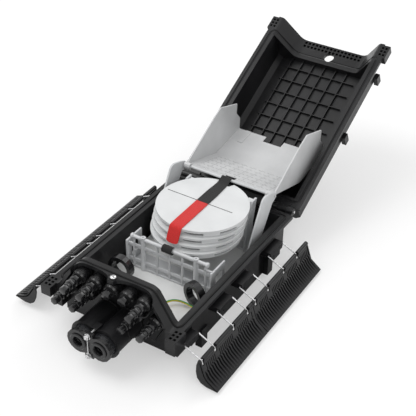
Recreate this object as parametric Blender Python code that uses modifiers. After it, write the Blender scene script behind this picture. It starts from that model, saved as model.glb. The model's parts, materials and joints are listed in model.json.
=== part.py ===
import math

import bmesh
import bpy
from mathutils import Matrix, Vector

# Fibre distribution hub box, opened: base with ports, trays and latches, lid and basket swung back.
# Metres, +Z up. X runs across the box, +Y from the cable ports to the lid hinge.
# The origin is on the underside of the base, midway along its floor.

# Base shell
rim_height = 0.078
cavity_half_width = 0.0964
cavity_front_y = -0.150
cavity_rear_y = 0.1538
wall = 0.0035
floor_thickness = 0.0035
rail_overhang = 0.0176
rail_thickness = 0.006
rear_rail_depth = 0.0122
pad_depth = 0.007
pad_low = 0.021
pad_spans = ((-0.130, -0.088), (-0.038, -0.022), (0.025, 0.068), (0.121, 0.150))
toe_lift = 0.0165
toe_flat_end = 0.038
toe_slope_end = 0.062
foot_spans = ((-0.106, -0.090), (0.096, 0.112))
foot_depth = 0.0098
foot_height = 0.034
weld = 0.001

# Raised front wall with the ports
port_wall = 0.006
arch_height = 0.050
arch_slope = math.radians(57.0)
arch_shoulder_radius = 0.018
arch_foot_radius = 0.010
arch_depth = 0.026
arch_roof = 0.0065
cheek_out = 0.0115
cheek = 0.016
cheek_drop = 0.041
scallop_middle = 0.038
scallop_half = 0.033
scallop_depth = 0.0135
scallop_low = 0.020

# Corner blocks with square pockets
block_width = 0.0174
block_length = 0.0278
block_height = 0.017
block_forward = 0.014
pocket_size = 0.0042
pocket_depth = 0.004
pocket_pitch_x = 0.0066
pocket_pitch_y = 0.0074

# Rim seal
seal_radius = 0.0018
seal_from_cavity = 0.0096
fit = 0.0003

# Lid
lid_open = math.radians(152.5)
hinge_y = 0.1797
hinge_drop = 0.0027
lid_roof_height = 0.063
lid_wall = 0.003
lid_rib_height = 0.005
lid_rib_width = 0.0016
lid_rib_columns = 6
lid_rib_rows = 10
lid_column_pitch = 0.0225
lid_column_first = -0.0675
lid_row_pitch = 0.0285
lid_row_inset = 0.0207
lid_row_left = -0.0725
lid_row_right = 0.066
lid_chamfer = 0.010
lid_band = 0.008
lid_lug_depth = 0.007
lid_lug_length = 0.012

# Hinge
knuckle_radius = 0.0065
hinge_pin_radius = 0.0022
knuckle_inset = 0.0304
knuckle_overhang = 0.0116
knuckle_width = 0.012
pin_overhang = 0.002

# Wire bails and latch wings
wire_radius = 0.0012
bail_length = 0.0302
bail_pivot_out = 0.0241
bail_pivot_drop = 0.019
bail_droop = math.radians(26.0)
wing_lift_left = math.radians(14.0)
bail_spans = ((-0.169, -0.135), (-0.0835, -0.042), (-0.018, 0.021), (0.072, 0.117))
bail_corner = 0.0025
bail_stub = 0.007
boss_height = 0.009
boss_leg_gap = 0.0025
wing_spans = ((-0.174, -0.0275), (-0.0265, 0.153))
comb_out = 0.009
comb_drop = 0.0272
flange_out = 0.021
flange_drop = 0.0152
wing_thickness = 0.003
bead_radius = 0.0036
slot_pitch = 0.0072
slot_width = 0.003
slot_length = 0.014
finger_pitch = 0.0103
finger_width = 0.0066
finger_height = 0.003
end_plate_thickness = 0.003
end_plate_outline = ((-0.0030, 0.0010), (-0.0055, -0.008), (-0.0060, -0.020), (-0.0040, -0.031),
                     (0.002, -0.0385), (0.012, -0.0425), (0.028, -0.0429), (0.029, -0.0402),
                     (0.012, -0.0272), (0.0025, -0.0005))
leg_notch = 0.0056

# Drop ports and their plugs
upper_port_inset = 0.0404
upper_port_rise = 0.031
lower_port_rise = 0.004
lower_port_inner = 0.042
lower_port_inset = 0.0226
adapter_radius = 0.0118
adapter_flange = 0.004
adapter_reach = 0.017
adapter_stop = 0.008
adapter_sleeve = 0.0095
plug_shank = 0.006
plug_knurl_radius = 0.0110
plug_knurl_length = 0.018
plug_body_radius = 0.0080
plug_body_length = 0.0185
plug_cap_radius = 0.0065
plug_cap_length = 0.013
short_cap_length = 0.0115
tether_radius = 0.0009

# Oval cable port
barrel_lobe = 0.022
barrel_lobe_x = 0.018
barrel_wall = 0.003
barrel_waist = 0.012
barrel_drop = 0.030
barrel_front_y = -0.217
barrel_inside = 0.010
seal_front_y = -0.226
clamp_front_y = -0.232
clamp_lobe = 0.0198
cable_bore = 0.0080
clamp_bolt_reach = 0.018
clamp_bolt_radius = 0.0024
bolt_head_radius = 0.0052
bolt_head_length = 0.005

# Organiser plate and what stands on it
plate_top = 0.025
plate_thickness = 0.0025
plate_gap = 0.0044
plate_hole_place = (0.052, 0.026)
plate_hole_radius = 0.0045
standoff_radius = 0.005
standoff_inset = 0.0214
standoff_front = 0.065
standoff_rear = 0.028
ring_radius = 0.0212
ring_hole = 0.0142
ring_width = 0.012
ring_lift = 0.0012
ring_foot_half = 0.007
left_ring = (0.0314, -0.063, 0.0)
right_ring = (0.0304, -0.056, -20.0)
post_x = 0.0485
frame_y = -0.026
post_size = 0.008
frame_tube_radius = 0.0045
frame_tube_inset = 0.0065
frame_tube_height = 0.0845
frame_side_inset = 0.0189
frame_side_thickness = 0.003
frame_side_front = 0.005
frame_side_rear = 0.036
frame_side_drop = 0.010
frame_rail = 0.003
frame_foot_rail = 0.004
frame_low_rail = (0.012, 0.018)
frame_top_rail = (0.0205, 0.0135)
frame_uprights_x = (-0.022, 0.024)
frame_upright_width = 0.003
frame_hook_width = 0.0155
frame_hook = (0.0122, 0.0082)
frame_window = (0.0445, 0.0225)
frame_window_span = (0.008, 0.028)

# Basket and its arms
pivot_y = 0.148
pivot_height = 0.118
pivot_radius = 0.0025
basket_tilt = math.radians(-16.0)
basket_side_room = 0.0124
basket_sheet = 0.0016
basket_wall = 0.002
basket_fold = 0.104
basket_length = 0.179
basket_rise = 0.0315
basket_start = 0.0048
basket_knuckle = 0.0055
basket_knuckle_width = 0.012
basket_side_view = ((0.010, 0.006), (0.074, 0.0695), (0.093, 0.0845), (0.152, 0.0828), (0.157, 0.064),
                    (0.174, 0.053))
basket_notch_span = (-0.026, 0.010)
basket_rib_span = (-0.066, -0.056)
basket_slot_end = 0.019
basket_slot_room = 0.002
arm_thickness = 0.003
arm_gap = 0.0006
arm_foot_width = 0.014
arm_foot_height = 0.003
arm_feet = (0.049, 0.085)
arm_front_low = (0.048, 0.066)
arm_bend_height = 0.031
arm_rear_low = 0.086

# Splice trays
tray_count = 4
tray_side_room = 0.0214
tray_thickness = 0.0107
tray_pitch = 0.011
tray_step = 0.005
tray_top_drop = 0.003
tray_centre_y = 0.070
tray_pin_back_inset = 0.019
tray_pin_drop = 0.0056
tray_pin_radius = 0.0019
tray_pin_side_inset = 0.015
tray_ear_width = 0.010
tray_ear_rise = (0.0082, 0.0030)
tray_ear_span = (-0.016, 0.004)
tray_notch_half = 0.0125
tray_notch_depth = 0.0105
spine_thickness = 0.0035
strap_thickness = 0.0016
strap_width = 0.016
strap_middle = -0.002
strap_lie = 0.017

# Earth wire, from its stud on the port wall to the rail of the plate
earth_wire_radius = 0.0017
earth_stud_x = 0.052
earth_stud_height = 0.036
earth_stud_radius = 0.004
earth_thread_radius = 0.002
earth_stud_depth = 0.0030
earth_route = ((0.052, -0.1458, 0.036), (0.0515, -0.134, 0.0355), (0.039, -0.116, 0.0335),
               (0.0270, -0.094, 0.0325), (0.0325, -0.0755, 0.0330), (0.0435, -0.068, 0.0335),
               (0.056, -0.0665, 0.0330), (0.072, -0.0675, 0.0315), (0.084, -0.071, 0.0288),
               (0.0892, -0.0735, 0.0273))

# Worked out from the sizes above
rim = rim_height
knuckle_inner_x = cavity_half_width - knuckle_inset
knuckle_outer_x = cavity_half_width + knuckle_overhang
bail_pivot_x = cavity_half_width + bail_pivot_out
upper_port_pitch = (cavity_half_width - upper_port_inset) / 2
lower_port_outer = cavity_half_width - lower_port_inset
frame_side_x = cavity_half_width - frame_side_inset
frame_tube_half = frame_side_x - frame_tube_inset
tray_radius = cavity_half_width - tray_side_room
tray_pin_back = tray_radius - tray_pin_back_inset
tray_pin_x = tray_radius - tray_pin_side_inset
tray_top_height = pivot_height - tray_top_drop
basket_half_width = cavity_half_width - basket_side_room
rail_half = cavity_half_width + rail_overhang
shell_half = cavity_half_width + wall
shell_rear = cavity_rear_y + wall
rail_rear = cavity_rear_y + rear_rail_depth
port_face = cavity_front_y - port_wall
arch_front = cavity_front_y - arch_depth
block_front = arch_front - block_forward
block_outer = cavity_half_width + 0.0216
seal_x = cavity_half_width + seal_from_cavity
seal_front = cavity_front_y - 0.0093
seal_rear = cavity_rear_y + 0.0068
hinge_z = rim - hinge_drop
knuckle_bore = hinge_pin_radius + fit
lid_base = rim + fit
lid_top = rim + lid_roof_height
bail_pivot_z = rim - bail_pivot_drop
plate_under = plate_top - plate_thickness
barrel_z = rim - barrel_drop
port_adapter_face = port_face - adapter_flange
arm_inner_x = basket_half_width + arm_gap
arm_outer_x = arm_inner_x + arm_thickness
valve_y = arch_front + 0.0075
plugs = (
    ("plug_upper_1", -2 * upper_port_pitch, upper_port_rise, True),
    ("plug_upper_2", -upper_port_pitch, upper_port_rise, True),
    ("plug_upper_3", 0.0, upper_port_rise, False),
    ("plug_upper_4", upper_port_pitch, upper_port_rise, False),
    ("plug_upper_5", 2 * upper_port_pitch, upper_port_rise, True),
    ("plug_lower_1", -lower_port_outer, lower_port_rise, True),
    ("plug_lower_2", -lower_port_inner, lower_port_rise, True),
    ("plug_lower_3", lower_port_inner, lower_port_rise, True),
    ("plug_lower_4", lower_port_outer, lower_port_rise, True),
)


# Scene and materials

def clear_scene():
    for item in list(bpy.data.objects):
        bpy.data.objects.remove(item, do_unlink=True)


def new_collection(name):
    group = bpy.data.collections.new(name)
    bpy.context.scene.collection.children.link(group)
    return group


def make_material(name, colour, roughness, metallic=0.0):
    mat = bpy.data.materials.new(name)
    mat.use_nodes = True
    shader = mat.node_tree.nodes["Principled BSDF"]
    shader.inputs["Base Color"].default_value = (*colour, 1.0)
    shader.inputs["Roughness"].default_value = roughness
    shader.inputs["Metallic"].default_value = metallic
    return mat


clear_scene()
hub = new_collection("fibre_hub_box")
guides = new_collection("cutters")
black_plastic = make_material("black_plastic", (0.018, 0.018, 0.020), 0.45)
black_rubber = make_material("black_rubber", (0.012, 0.012, 0.013), 0.7)
grey_plastic = make_material("grey_plastic", (0.62, 0.63, 0.64), 0.4)
white_plastic = make_material("white_plastic", (0.78, 0.79, 0.80), 0.35)
steel = make_material("steel", (0.62, 0.62, 0.63), 0.3, 1.0)
seal_gel = make_material("seal_gel", (0.06, 0.07, 0.10), 0.35)
red_fabric = make_material("red_fabric", (0.60, 0.05, 0.05), 0.9)
black_fabric = make_material("black_fabric", (0.02, 0.02, 0.02), 0.95)
wire_sheath = make_material("wire_sheath", (0.25, 0.42, 0.08), 0.5)


# Shapes

def guide(name, mesh):
    obj = bpy.data.objects.new(name, mesh)
    guides.objects.link(obj)
    obj.hide_render = True
    obj.display_type = "WIRE"
    return obj


def boxes(name, spans):
    # Each span is the low and the high corner of one box.
    mesh = bpy.data.meshes.new(name)
    bm = bmesh.new()
    for low, high in spans:
        low = Vector(low)
        high = Vector(high)
        size = Matrix.Diagonal((*(high - low), 1.0))
        bmesh.ops.create_cube(bm, size=1.0, matrix=Matrix.Translation((low + high) / 2) @ size)
    bm.to_mesh(mesh)
    bm.free()
    return guide(name, mesh)


def turned_boxes(name, places, size):
    # Boxes of one size, each placed by its own matrix.
    mesh = bpy.data.meshes.new(name)
    bm = bmesh.new()
    for place in places:
        bmesh.ops.create_cube(bm, size=1.0, matrix=place @ Matrix.Diagonal((*size, 1.0)))
    bm.to_mesh(mesh)
    bm.free()
    return guide(name, mesh)


def cylinders(name, rods, sides=16):
    # Each rod is its two end points and its radius.
    mesh = bpy.data.meshes.new(name)
    bm = bmesh.new()
    for start, end, radius in rods:
        start = Vector(start)
        run = Vector(end) - start
        turn = run.to_track_quat("Z", "Y").to_matrix().to_4x4()
        place = Matrix.Translation(start + run / 2) @ turn
        bmesh.ops.create_cone(bm, cap_ends=True, segments=sides, radius1=radius, radius2=radius,
                              depth=run.length, matrix=place)
    bm.to_mesh(mesh)
    bm.free()
    return guide(name, mesh)


def mesh_from_curve(name, data):
    curve = bpy.data.objects.new(name + "_curve", data)
    bpy.context.scene.collection.objects.link(curve)
    bpy.context.view_layer.update()
    ready = curve.evaluated_get(bpy.context.evaluated_depsgraph_get())
    mesh = bpy.data.meshes.new_from_object(ready)
    bpy.data.objects.remove(curve, do_unlink=True)
    bm = bmesh.new()
    bm.from_mesh(mesh)
    bmesh.ops.remove_doubles(bm, verts=bm.verts, dist=0.000005)
    bmesh.ops.recalc_face_normals(bm, faces=bm.faces)
    bm.to_mesh(mesh)
    bm.free()
    return mesh


def flat_solid(name, outline, plane, low, high):
    # A flat outline given thickness from low to high along the axis that the plane leaves out.
    data = bpy.data.curves.new(name, "CURVE")
    data.dimensions = "2D"
    data.fill_mode = "BOTH"
    data.extrude = (high - low) / 2
    spline = data.splines.new("POLY")
    spline.points.add(len(outline) - 1)
    for point, (a, b) in zip(spline.points, outline):
        point.co = (a, b, 0.0, 1.0)
    spline.use_cyclic_u = True
    mesh = mesh_from_curve(name, data)
    middle = (low + high) / 2
    frames = {
        "XZ": Matrix(((1, 0, 0, 0), (0, 0, -1, middle), (0, 1, 0, 0), (0, 0, 0, 1))),
        "YZ": Matrix(((0, 0, 1, middle), (1, 0, 0, 0), (0, 1, 0, 0), (0, 0, 0, 1))),
        "XY": Matrix.Translation((0, 0, middle)),
    }
    mesh.transform(frames[plane])
    return guide(name, mesh)


def tube(name, points, radius, closed=False):
    data = bpy.data.curves.new(name, "CURVE")
    data.dimensions = "3D"
    data.bevel_depth = radius
    data.bevel_resolution = 2
    data.use_fill_caps = not closed
    spline = data.splines.new("POLY")
    spline.points.add(len(points) - 1)
    for point, place in zip(spline.points, points):
        point.co = (*place, 1.0)
    spline.use_cyclic_u = closed
    return guide(name, mesh_from_curve(name, data))


def turned(name, profile, steps):
    # A profile of radius and height pairs, from the top down, spun about Z.
    mesh = bpy.data.meshes.new(name)
    bm = bmesh.new()
    points = [bm.verts.new((radius, 0.0, height)) for radius, height in profile]
    for first, second in zip(points, points[1:]):
        bm.edges.new((first, second))
    bm.to_mesh(mesh)
    bm.free()
    obj = guide(name, mesh)
    spin = obj.modifiers.new("spin", "SCREW")
    spin.steps = steps
    spin.render_steps = steps
    spin.use_merge_vertices = True
    spin.merge_threshold = 0.00001
    return obj


def mix(obj, others, operation):
    for other in others:
        step = obj.modifiers.new(operation.lower(), "BOOLEAN")
        step.operation = operation
        step.solver = "EXACT"
        step.object = other


def finish_part(obj, mat):
    # Moves a guide into the model as a named part.
    guides.objects.unlink(obj)
    hub.objects.link(obj)
    obj.hide_render = False
    obj.display_type = "TEXTURED"
    obj.data.materials.clear()
    obj.data.materials.append(mat)
    return obj


def axis_empty(name, place, turn=(0.0, 0.0, 0.0), parent=None):
    empty = bpy.data.objects.new(name, None)
    hub.objects.link(empty)
    empty.empty_display_size = 0.02
    empty.location = place
    empty.rotation_euler = turn
    if parent is not None:
        hang(empty, parent)
    bpy.context.view_layer.update()
    return empty


def hang(obj, parent):
    # The shapes joined to or cut from a part swing with it.
    bpy.context.view_layer.update()
    tools = [step.object for step in obj.modifiers if step.type == "BOOLEAN"]
    for item in [obj] + tools:
        item.parent = parent
        item.matrix_parent_inverse = parent.matrix_world.inverted()


def settle(obj):
    # Works a part's shape out once, so that its flush faces stay flush when it is swung.
    bpy.context.view_layer.update()
    ready = obj.evaluated_get(bpy.context.evaluated_depsgraph_get())
    mesh = bpy.data.meshes.new_from_object(ready)
    bm = bmesh.new()
    bm.from_mesh(mesh)
    bmesh.ops.triangulate(bm, faces=bm.faces)
    bm.to_mesh(mesh)
    bm.free()
    obj.modifiers.clear()
    obj.data = mesh


def set_origin(obj, place):
    obj.data.transform(Matrix.Translation(-Vector(place)))
    obj.location = place


# Outlines

def arc(centre, radius, start, end, steps):
    points = []
    for index in range(steps + 1):
        angle = start + (end - start) * index / steps
        points.append((centre[0] + radius * math.cos(angle), centre[1] + radius * math.sin(angle)))
    return points


def rounded_corner(before, corner, after, radius, steps):
    corner = Vector(corner)
    one = (Vector(before) - corner).normalized()
    two = (Vector(after) - corner).normalized()
    half = one.angle(two) / 2
    centre = corner + (one + two).normalized() * radius / math.sin(half)
    reach = radius / math.tan(half)
    start = corner + one * reach - centre
    sweep = start.angle_signed(corner + two * reach - centre)
    first = math.atan2(start.y, start.x)
    return arc(centre, radius, first, first - sweep, steps)


def ribbon(path, thickness):
    # The outline of a sheet whose middle follows the path.
    left = []
    right = []
    points = [Vector(point) for point in path]
    for index, point in enumerate(points):
        back = points[max(index - 1, 0)]
        ahead = points[min(index + 1, len(points) - 1)]
        first = (point - back).normalized() if index else (ahead - point).normalized()
        second = (ahead - point).normalized() if index < len(points) - 1 else first
        normal = Vector((-(first + second).y, (first + second).x)).normalized()
        reach = thickness / 2 / max(normal.dot(Vector((-first.y, first.x))), 0.3)
        left.append(tuple(point + normal * reach))
        right.append(tuple(point - normal * reach))
    return left + right[::-1]


def arch_side(grow, level):
    # The right half of the raised front: foot, slope and shoulder, grown outwards by a clearance.
    foot_x = cavity_half_width + grow / math.sin(arch_slope) - (level - rim) / math.tan(arch_slope)
    top_z = rim + arch_height + grow
    top_x = foot_x - (top_z - level) / math.tan(arch_slope)
    foot = (foot_x, level)
    shoulder = (top_x, top_z)
    low = rounded_corner((foot_x + 0.02, level), foot, shoulder, arch_foot_radius - grow, 3)
    high = rounded_corner(foot, shoulder, (0.0, top_z), arch_shoulder_radius + grow, 5)
    return low + high


def arch_outline(grow, foot_x, bottom, level):
    right = [(foot_x, bottom), (foot_x, level)] if bottom < level else [(foot_x, level)]
    right += arch_side(grow, level)
    return right + [(-x, z) for x, z in reversed(right)]


def mirrored(spans):
    # Each box and its copy on the other side of the middle plane.
    both = []
    for low, high in spans:
        both.append((low, high))
        both.append(((-high[0], low[1], low[2]), (-low[0], high[1], high[2])))
    return both


def seal_path():
    side = [(seal_x, seal_front + 0.013, rim), (seal_x - 0.0006, seal_front + 0.005, rim)]
    right = side + [(x, seal_front, z) for x, z in arch_side(0.0, rim)]
    front = right + [(-x, y, z) for x, y, z in reversed(right)]
    corner = 0.006
    back = [(-seal_x, seal_rear - corner, rim), (-seal_x + 0.0018, seal_rear - 0.0018, rim),
            (-seal_x + corner, seal_rear, rim)]
    return front + back + [(-x, y, z) for x, y, z in reversed(back)]


def block_pockets(name, low, high):
    # Two by three square pockets in each front corner block.
    centre_x = block_outer - block_width / 2
    centre_y = block_front + block_length / 2
    half = pocket_size / 2
    spans = []
    for column in (-0.5, 0.5):
        for row in (-1, 0, 1):
            x = centre_x + column * pocket_pitch_x
            y = centre_y + row * pocket_pitch_y
            spans.append(((x - half, y - half, low), (x + half, y + half, high)))
    return boxes(name, mirrored(spans))


def two_lobes(radius, y_low, y_high, name, bridge):
    # Two round lobes side by side with a flat bridge between them.
    half = math.asin(min(bridge / radius, 0.99))
    right = arc((barrel_lobe_x, barrel_z), radius, -math.pi + half, math.pi - half, 14)
    right = [(max(x, 0.0008), z) for x, z in right]
    return flat_solid(name, right + [(-x, z) for x, z in reversed(right)], "XZ", y_low, y_high)


# Base

def port_places():
    return [(x, rim + rise) for name, x, rise, long in plugs]


def tub_outline(front, rear, under, top, shift):
    # The tub's side view, its floor raised at the front under the ports.
    return [(front, toe_lift + under), (cavity_front_y + toe_flat_end + shift, toe_lift + under),
            (cavity_front_y + toe_slope_end + shift, under), (rear, under), (rear, top), (front, top)]


def recess_outline():
    # The hollow under the arch, in front of the port wall.
    roof = rim + arch_height - arch_roof
    half = cavity_half_width + cheek_out - cheek
    shoulder = half - (arch_height - arch_roof) / math.tan(arch_slope)
    right = [(half, -0.01), (half, rim - 0.002), (shoulder + 0.006, roof - 0.010),
             (shoulder - 0.001, roof - 0.002), (shoulder - 0.009, roof)]
    return right + [(-x, z) for x, z in reversed(right)]


def scallop_outline(side):
    # One shallow bay in the arch's front edge, between the valve and a shoulder.
    curve = []
    for angle in range(5, 180, 17):
        turn = math.radians(angle)
        x = scallop_middle + scallop_half * math.cos(turn)
        curve.append((side * x, arch_front - 0.001 + scallop_depth * math.sin(turn) ** 0.7))
    return [(curve[0][0], arch_front - 0.02)] + curve + [(curve[-1][0], arch_front - 0.02)]


def build_base():
    tub = flat_solid("base_shell", tub_outline(port_face, shell_rear, 0.0, rim, 0.0), "YZ",
                     -shell_half, shell_half)
    rail = boxes("base_rail", [((-rail_half, arch_front, rim - rail_thickness),
                                (rail_half, rail_rear, rim))])
    arch = arch_outline(0.0, cavity_half_width + cheek_out, rim - cheek_drop, rim)
    front = flat_solid("base_front", arch, "XZ", arch_front, cavity_front_y)
    blocks = boxes("base_blocks", mirrored([(
        (block_outer - block_width, block_front, rim - block_height),
        (block_outer, block_front + block_length, rim))]))
    pads = []
    feet = []
    bosses = []
    bores = []
    for start, end in pad_spans:
        pads.append(((shell_half - weld, start, pad_low),
                     (shell_half + pad_depth, end, rim - rail_thickness + weld)))
    for start, end in foot_spans:
        feet.append(((shell_half - weld - 0.0002, start, 0.0002), (shell_half + foot_depth, end, foot_height)))
    for start, end in bail_spans:
        low = (shell_half - weld, start + boss_leg_gap, bail_pivot_z - boss_height / 2)
        high = (bail_pivot_x + 0.0035, end - boss_leg_gap, bail_pivot_z + boss_height / 2)
        bosses.append((low, high))
        for side in (-1, 1):
            bores.append(((side * bail_pivot_x, start, bail_pivot_z),
                          (side * bail_pivot_x, end, bail_pivot_z), wire_radius + fit))
    side_work = boxes("base_pads", mirrored(pads))
    foot_work = boxes("base_feet", mirrored(feet))
    boss_work = boxes("base_bosses", mirrored(bosses))
    sleeves = []
    inner_sleeves = []
    plug_bores = []
    tail_end = port_adapter_face + adapter_reach
    for x, z in port_places():
        sleeves.append(((x, port_adapter_face, z), (x, port_face + weld, z), adapter_radius))
        inner_sleeves.append(((x, port_face + weld, z), (x, tail_end, z), adapter_sleeve))
        plug_bores.append(((x, arch_front - 0.01, z), (x, tail_end - adapter_stop, z), plug_shank + fit))
    flanges = cylinders("base_adapter_flanges", sleeves, 14)
    tails = cylinders("base_adapter_tails", inner_sleeves, 12)
    standoffs = []
    for side in (-1, 1):
        for y in (cavity_front_y + standoff_front, cavity_rear_y - standoff_rear):
            x = side * (cavity_half_width - standoff_inset)
            standoffs.append(((x, y, floor_thickness - weld), (x, y, plate_under - fit), standoff_radius))
    supports = cylinders("base_standoffs", standoffs, 12)
    knuckles = []
    brackets = []
    for side in (-1, 1):
        for start in (knuckle_inner_x, knuckle_outer_x - knuckle_width):
            one = side * start
            two = side * (start + knuckle_width)
            knuckles.append(((one, hinge_y, hinge_z), (two, hinge_y, hinge_z), knuckle_radius))
            brackets.append(((min(one, two), shell_rear - weld, hinge_z - knuckle_radius + 0.0002),
                             (max(one, two), hinge_y, hinge_z - 0.0002)))
    knuckle_work = cylinders("base_knuckles", knuckles, 16)
    bracket_work = boxes("base_hinge_brackets", brackets)
    toe_angle = math.atan2(toe_lift, toe_slope_end - toe_flat_end)
    inside = tub_outline(cavity_front_y, cavity_rear_y, floor_thickness, rim + arch_height + 0.05,
                         floor_thickness * math.tan(toe_angle / 2))
    cavity = flat_solid("base_cavity", inside, "YZ", -cavity_half_width, cavity_half_width)
    recess = flat_solid("base_recess", recess_outline(), "XZ", arch_front - 0.02, port_face)
    scallops = [flat_solid("base_scallop", scallop_outline(side), "XY",
                           rim + scallop_low, rim + arch_height + 0.01) for side in (-1, 1)]
    seal_groove = tube("base_seal_groove", seal_path(), seal_radius + fit, closed=True)
    pockets = block_pockets("base_block_pockets", rim - pocket_depth, rim + 0.001)
    bail_bores = cylinders("base_bail_bores", bores, 8)
    adapter_bores = cylinders("base_adapter_bores", plug_bores, 12)
    pin_bore = cylinders("base_hinge_bores", [
        ((side * (knuckle_inner_x - 0.004), hinge_y, hinge_z),
         (side * (knuckle_outer_x + 0.004), hinge_y, hinge_z), knuckle_bore) for side in (-1, 1)], 12)
    barrel_hole = two_lobes(barrel_lobe + fit, arch_front - 0.01, cavity_front_y + 0.002,
                            "base_barrel_hole", barrel_waist + fit)
    valve_bore = cylinders("base_valve_bore", [((0.0, valve_y, rim + arch_height - 0.005),
                                                (0.0, valve_y, rim + arch_height + 0.01), 0.004 + fit)], 12)
    stud_end = cavity_front_y - earth_stud_depth - 0.0005
    stud_bore = cylinders("base_stud_bore", [((earth_stud_x, stud_end, earth_stud_height),
                                              (earth_stud_x, cavity_front_y + 0.01, earth_stud_height),
                                              earth_thread_radius + fit)], 8)
    mix(tub, [rail, front, blocks], "UNION")
    mix(tub, [cavity, recess] + scallops, "DIFFERENCE")
    mix(tub, [side_work, foot_work, boss_work, flanges, tails, supports, knuckle_work, bracket_work], "UNION")
    mix(tub, [seal_groove, pockets, bail_bores, adapter_bores, pin_bore, barrel_hole, valve_bore,
              stud_bore], "DIFFERENCE")
    return finish_part(tub, black_plastic)


def build_rim_seal():
    return finish_part(tube("rim_gasket", seal_path(), seal_radius, closed=True), black_rubber)


def build_hinge_pins():
    for name, side in (("hinge_pin_left", -1), ("hinge_pin_right", 1)):
        pin = cylinders(name, [((side * (knuckle_inner_x - pin_overhang), hinge_y, hinge_z),
                                (side * (knuckle_outer_x + pin_overhang), hinge_y, hinge_z),
                                hinge_pin_radius)], 12)
        finish_part(pin, steel)


# Lid, modelled closed and then swung open about its hinge

def build_lid(swing):
    chamfer = lid_chamfer
    low = lid_base - 0.002
    dome = flat_solid("lid_shell", [
        (-shell_half, low), (shell_half, low), (shell_half, lid_top + lid_wall - chamfer),
        (shell_half - chamfer, lid_top + lid_wall), (-shell_half + chamfer, lid_top + lid_wall),
        (-shell_half, lid_top + lid_wall - chamfer)], "XZ", cavity_front_y - 0.004, shell_rear)
    rail = boxes("lid_rail", [((-rail_half, arch_front, low + 0.0003),
                               (rail_half, hinge_y - 0.0097, lid_base + rail_thickness))])
    band_view = arch_outline(lid_band, cavity_half_width + 0.0125, low + 0.0006, lid_base)
    band = flat_solid("lid_band", band_view, "XZ", block_front - 0.002, cavity_front_y - 0.001)
    blocks = boxes("lid_blocks", mirrored([(
        (block_outer - block_width, block_front, low + 0.0009),
        (block_outer, block_front + block_length, lid_base + block_height - 0.001))]))
    parting = boxes("lid_parting", [((-0.2, -0.3, low - 0.01), (0.2, 0.3, lid_base))])
    lugs = []
    for y in (hinge_y - 0.333, hinge_y - 0.195):
        lugs.append(((shell_half - 0.001, y - lid_lug_length / 2, rim + 0.046),
                     (shell_half + lid_lug_depth, y + lid_lug_length / 2, lid_top + lid_wall)))
    lug_work = boxes("lid_lugs", mirrored(lugs))
    room = shell_half - lid_wall
    slant = chamfer - lid_wall * (2 - math.sqrt(2))
    cavity = flat_solid("lid_cavity", [
        (-room, rim - 0.01), (room, rim - 0.01), (room, lid_top - slant), (room - slant, lid_top),
        (-room + slant, lid_top), (-room, lid_top - slant)], "XZ", cavity_front_y + 0.0005, cavity_rear_y)
    arch_room = flat_solid("lid_arch_room", arch_outline(0.0005, rail_half + 0.02, rim - 0.01, rim), "XZ",
                           block_front - 0.02, cavity_front_y + 0.0006)
    ribs = []
    rib_low = lid_top - lid_rib_height
    half_rib = lid_rib_width / 2
    for index in range(lid_rib_columns):
        x = lid_column_first + index * lid_column_pitch
        ribs.append(((x - half_rib, cavity_front_y - 0.002, rib_low),
                     (x + half_rib, cavity_rear_y - 0.018, lid_top + 0.001)))
    columns = boxes("lid_rib_columns", ribs)
    rows = []
    for index in range(lid_rib_rows):
        y = cavity_front_y + lid_row_inset + index * lid_row_pitch
        rows.append(((lid_row_left, y - half_rib, rib_low + 0.0004),
                     (lid_row_right, y + half_rib, lid_top + 0.0006)))
    row_work = boxes("lid_rib_rows", rows)
    cells = []
    for row in range(2):
        y = block_front + 0.0035 + row * 0.0076
        for column in range(18):
            x = (column - 8.5) * 0.0074
            if abs(x) < 0.060:
                cells.append(((x - 0.0024, y - 0.0025, rim + arch_height - 0.002),
                              (x + 0.0024, y + 0.0025, rim + arch_height + 0.0055)))
    band_cells = boxes("lid_band_cells", cells)
    pockets = block_pockets("lid_block_pockets", lid_base - 0.001, lid_base + pocket_depth)
    groove = tube("lid_seal_groove", seal_path(), seal_radius + fit, closed=True)
    valve_hole = cylinders("lid_valve_hole", [((0.0, valve_y, rim + arch_height - 0.005),
                                               (0.0, valve_y, lid_top + 0.02), 0.0095)], 16)
    knuckles = []
    brackets = []
    for side in (-1, 1):
        one = side * (knuckle_inner_x + knuckle_width + fit)
        two = side * (knuckle_outer_x - knuckle_width - fit)
        knuckles.append(((one, hinge_y, hinge_z), (two, hinge_y, hinge_z), knuckle_radius))
        brackets.append(((min(one, two) + 0.0002, rail_rear + 0.0008, hinge_z + 0.0002),
                         (max(one, two) - 0.0002, hinge_y, lid_base + rail_thickness - 0.0002)))
    knuckle_work = cylinders("lid_knuckles", knuckles, 16)
    bracket_work = boxes("lid_hinge_brackets", brackets)
    pin_bore = cylinders("lid_hinge_bores", [
        ((side * (knuckle_inner_x - 0.004), hinge_y, hinge_z),
         (side * (knuckle_outer_x + 0.004), hinge_y, hinge_z), knuckle_bore) for side in (-1, 1)], 12)
    mix(dome, [rail, band, blocks, lug_work], "UNION")
    mix(dome, [parting, cavity, arch_room], "DIFFERENCE")
    mix(dome, [columns, row_work, knuckle_work, bracket_work], "UNION")
    mix(dome, [band_cells, pockets, groove, valve_hole, pin_bore], "DIFFERENCE")
    settle(dome)
    lid = finish_part(dome, black_plastic)
    set_origin(lid, (0.0, hinge_y, hinge_z))
    hang(lid, swing)


# Basket, modelled flat from its pivot bar and then tilted back

def basket_place(run, rise):
    # A point of the basket's side view, from its pivot, at rest.
    turn = Matrix.Rotation(basket_tilt, 2)
    spot = turn @ Vector((run, rise))
    return (pivot_y + spot.x, pivot_height + spot.y)


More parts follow.
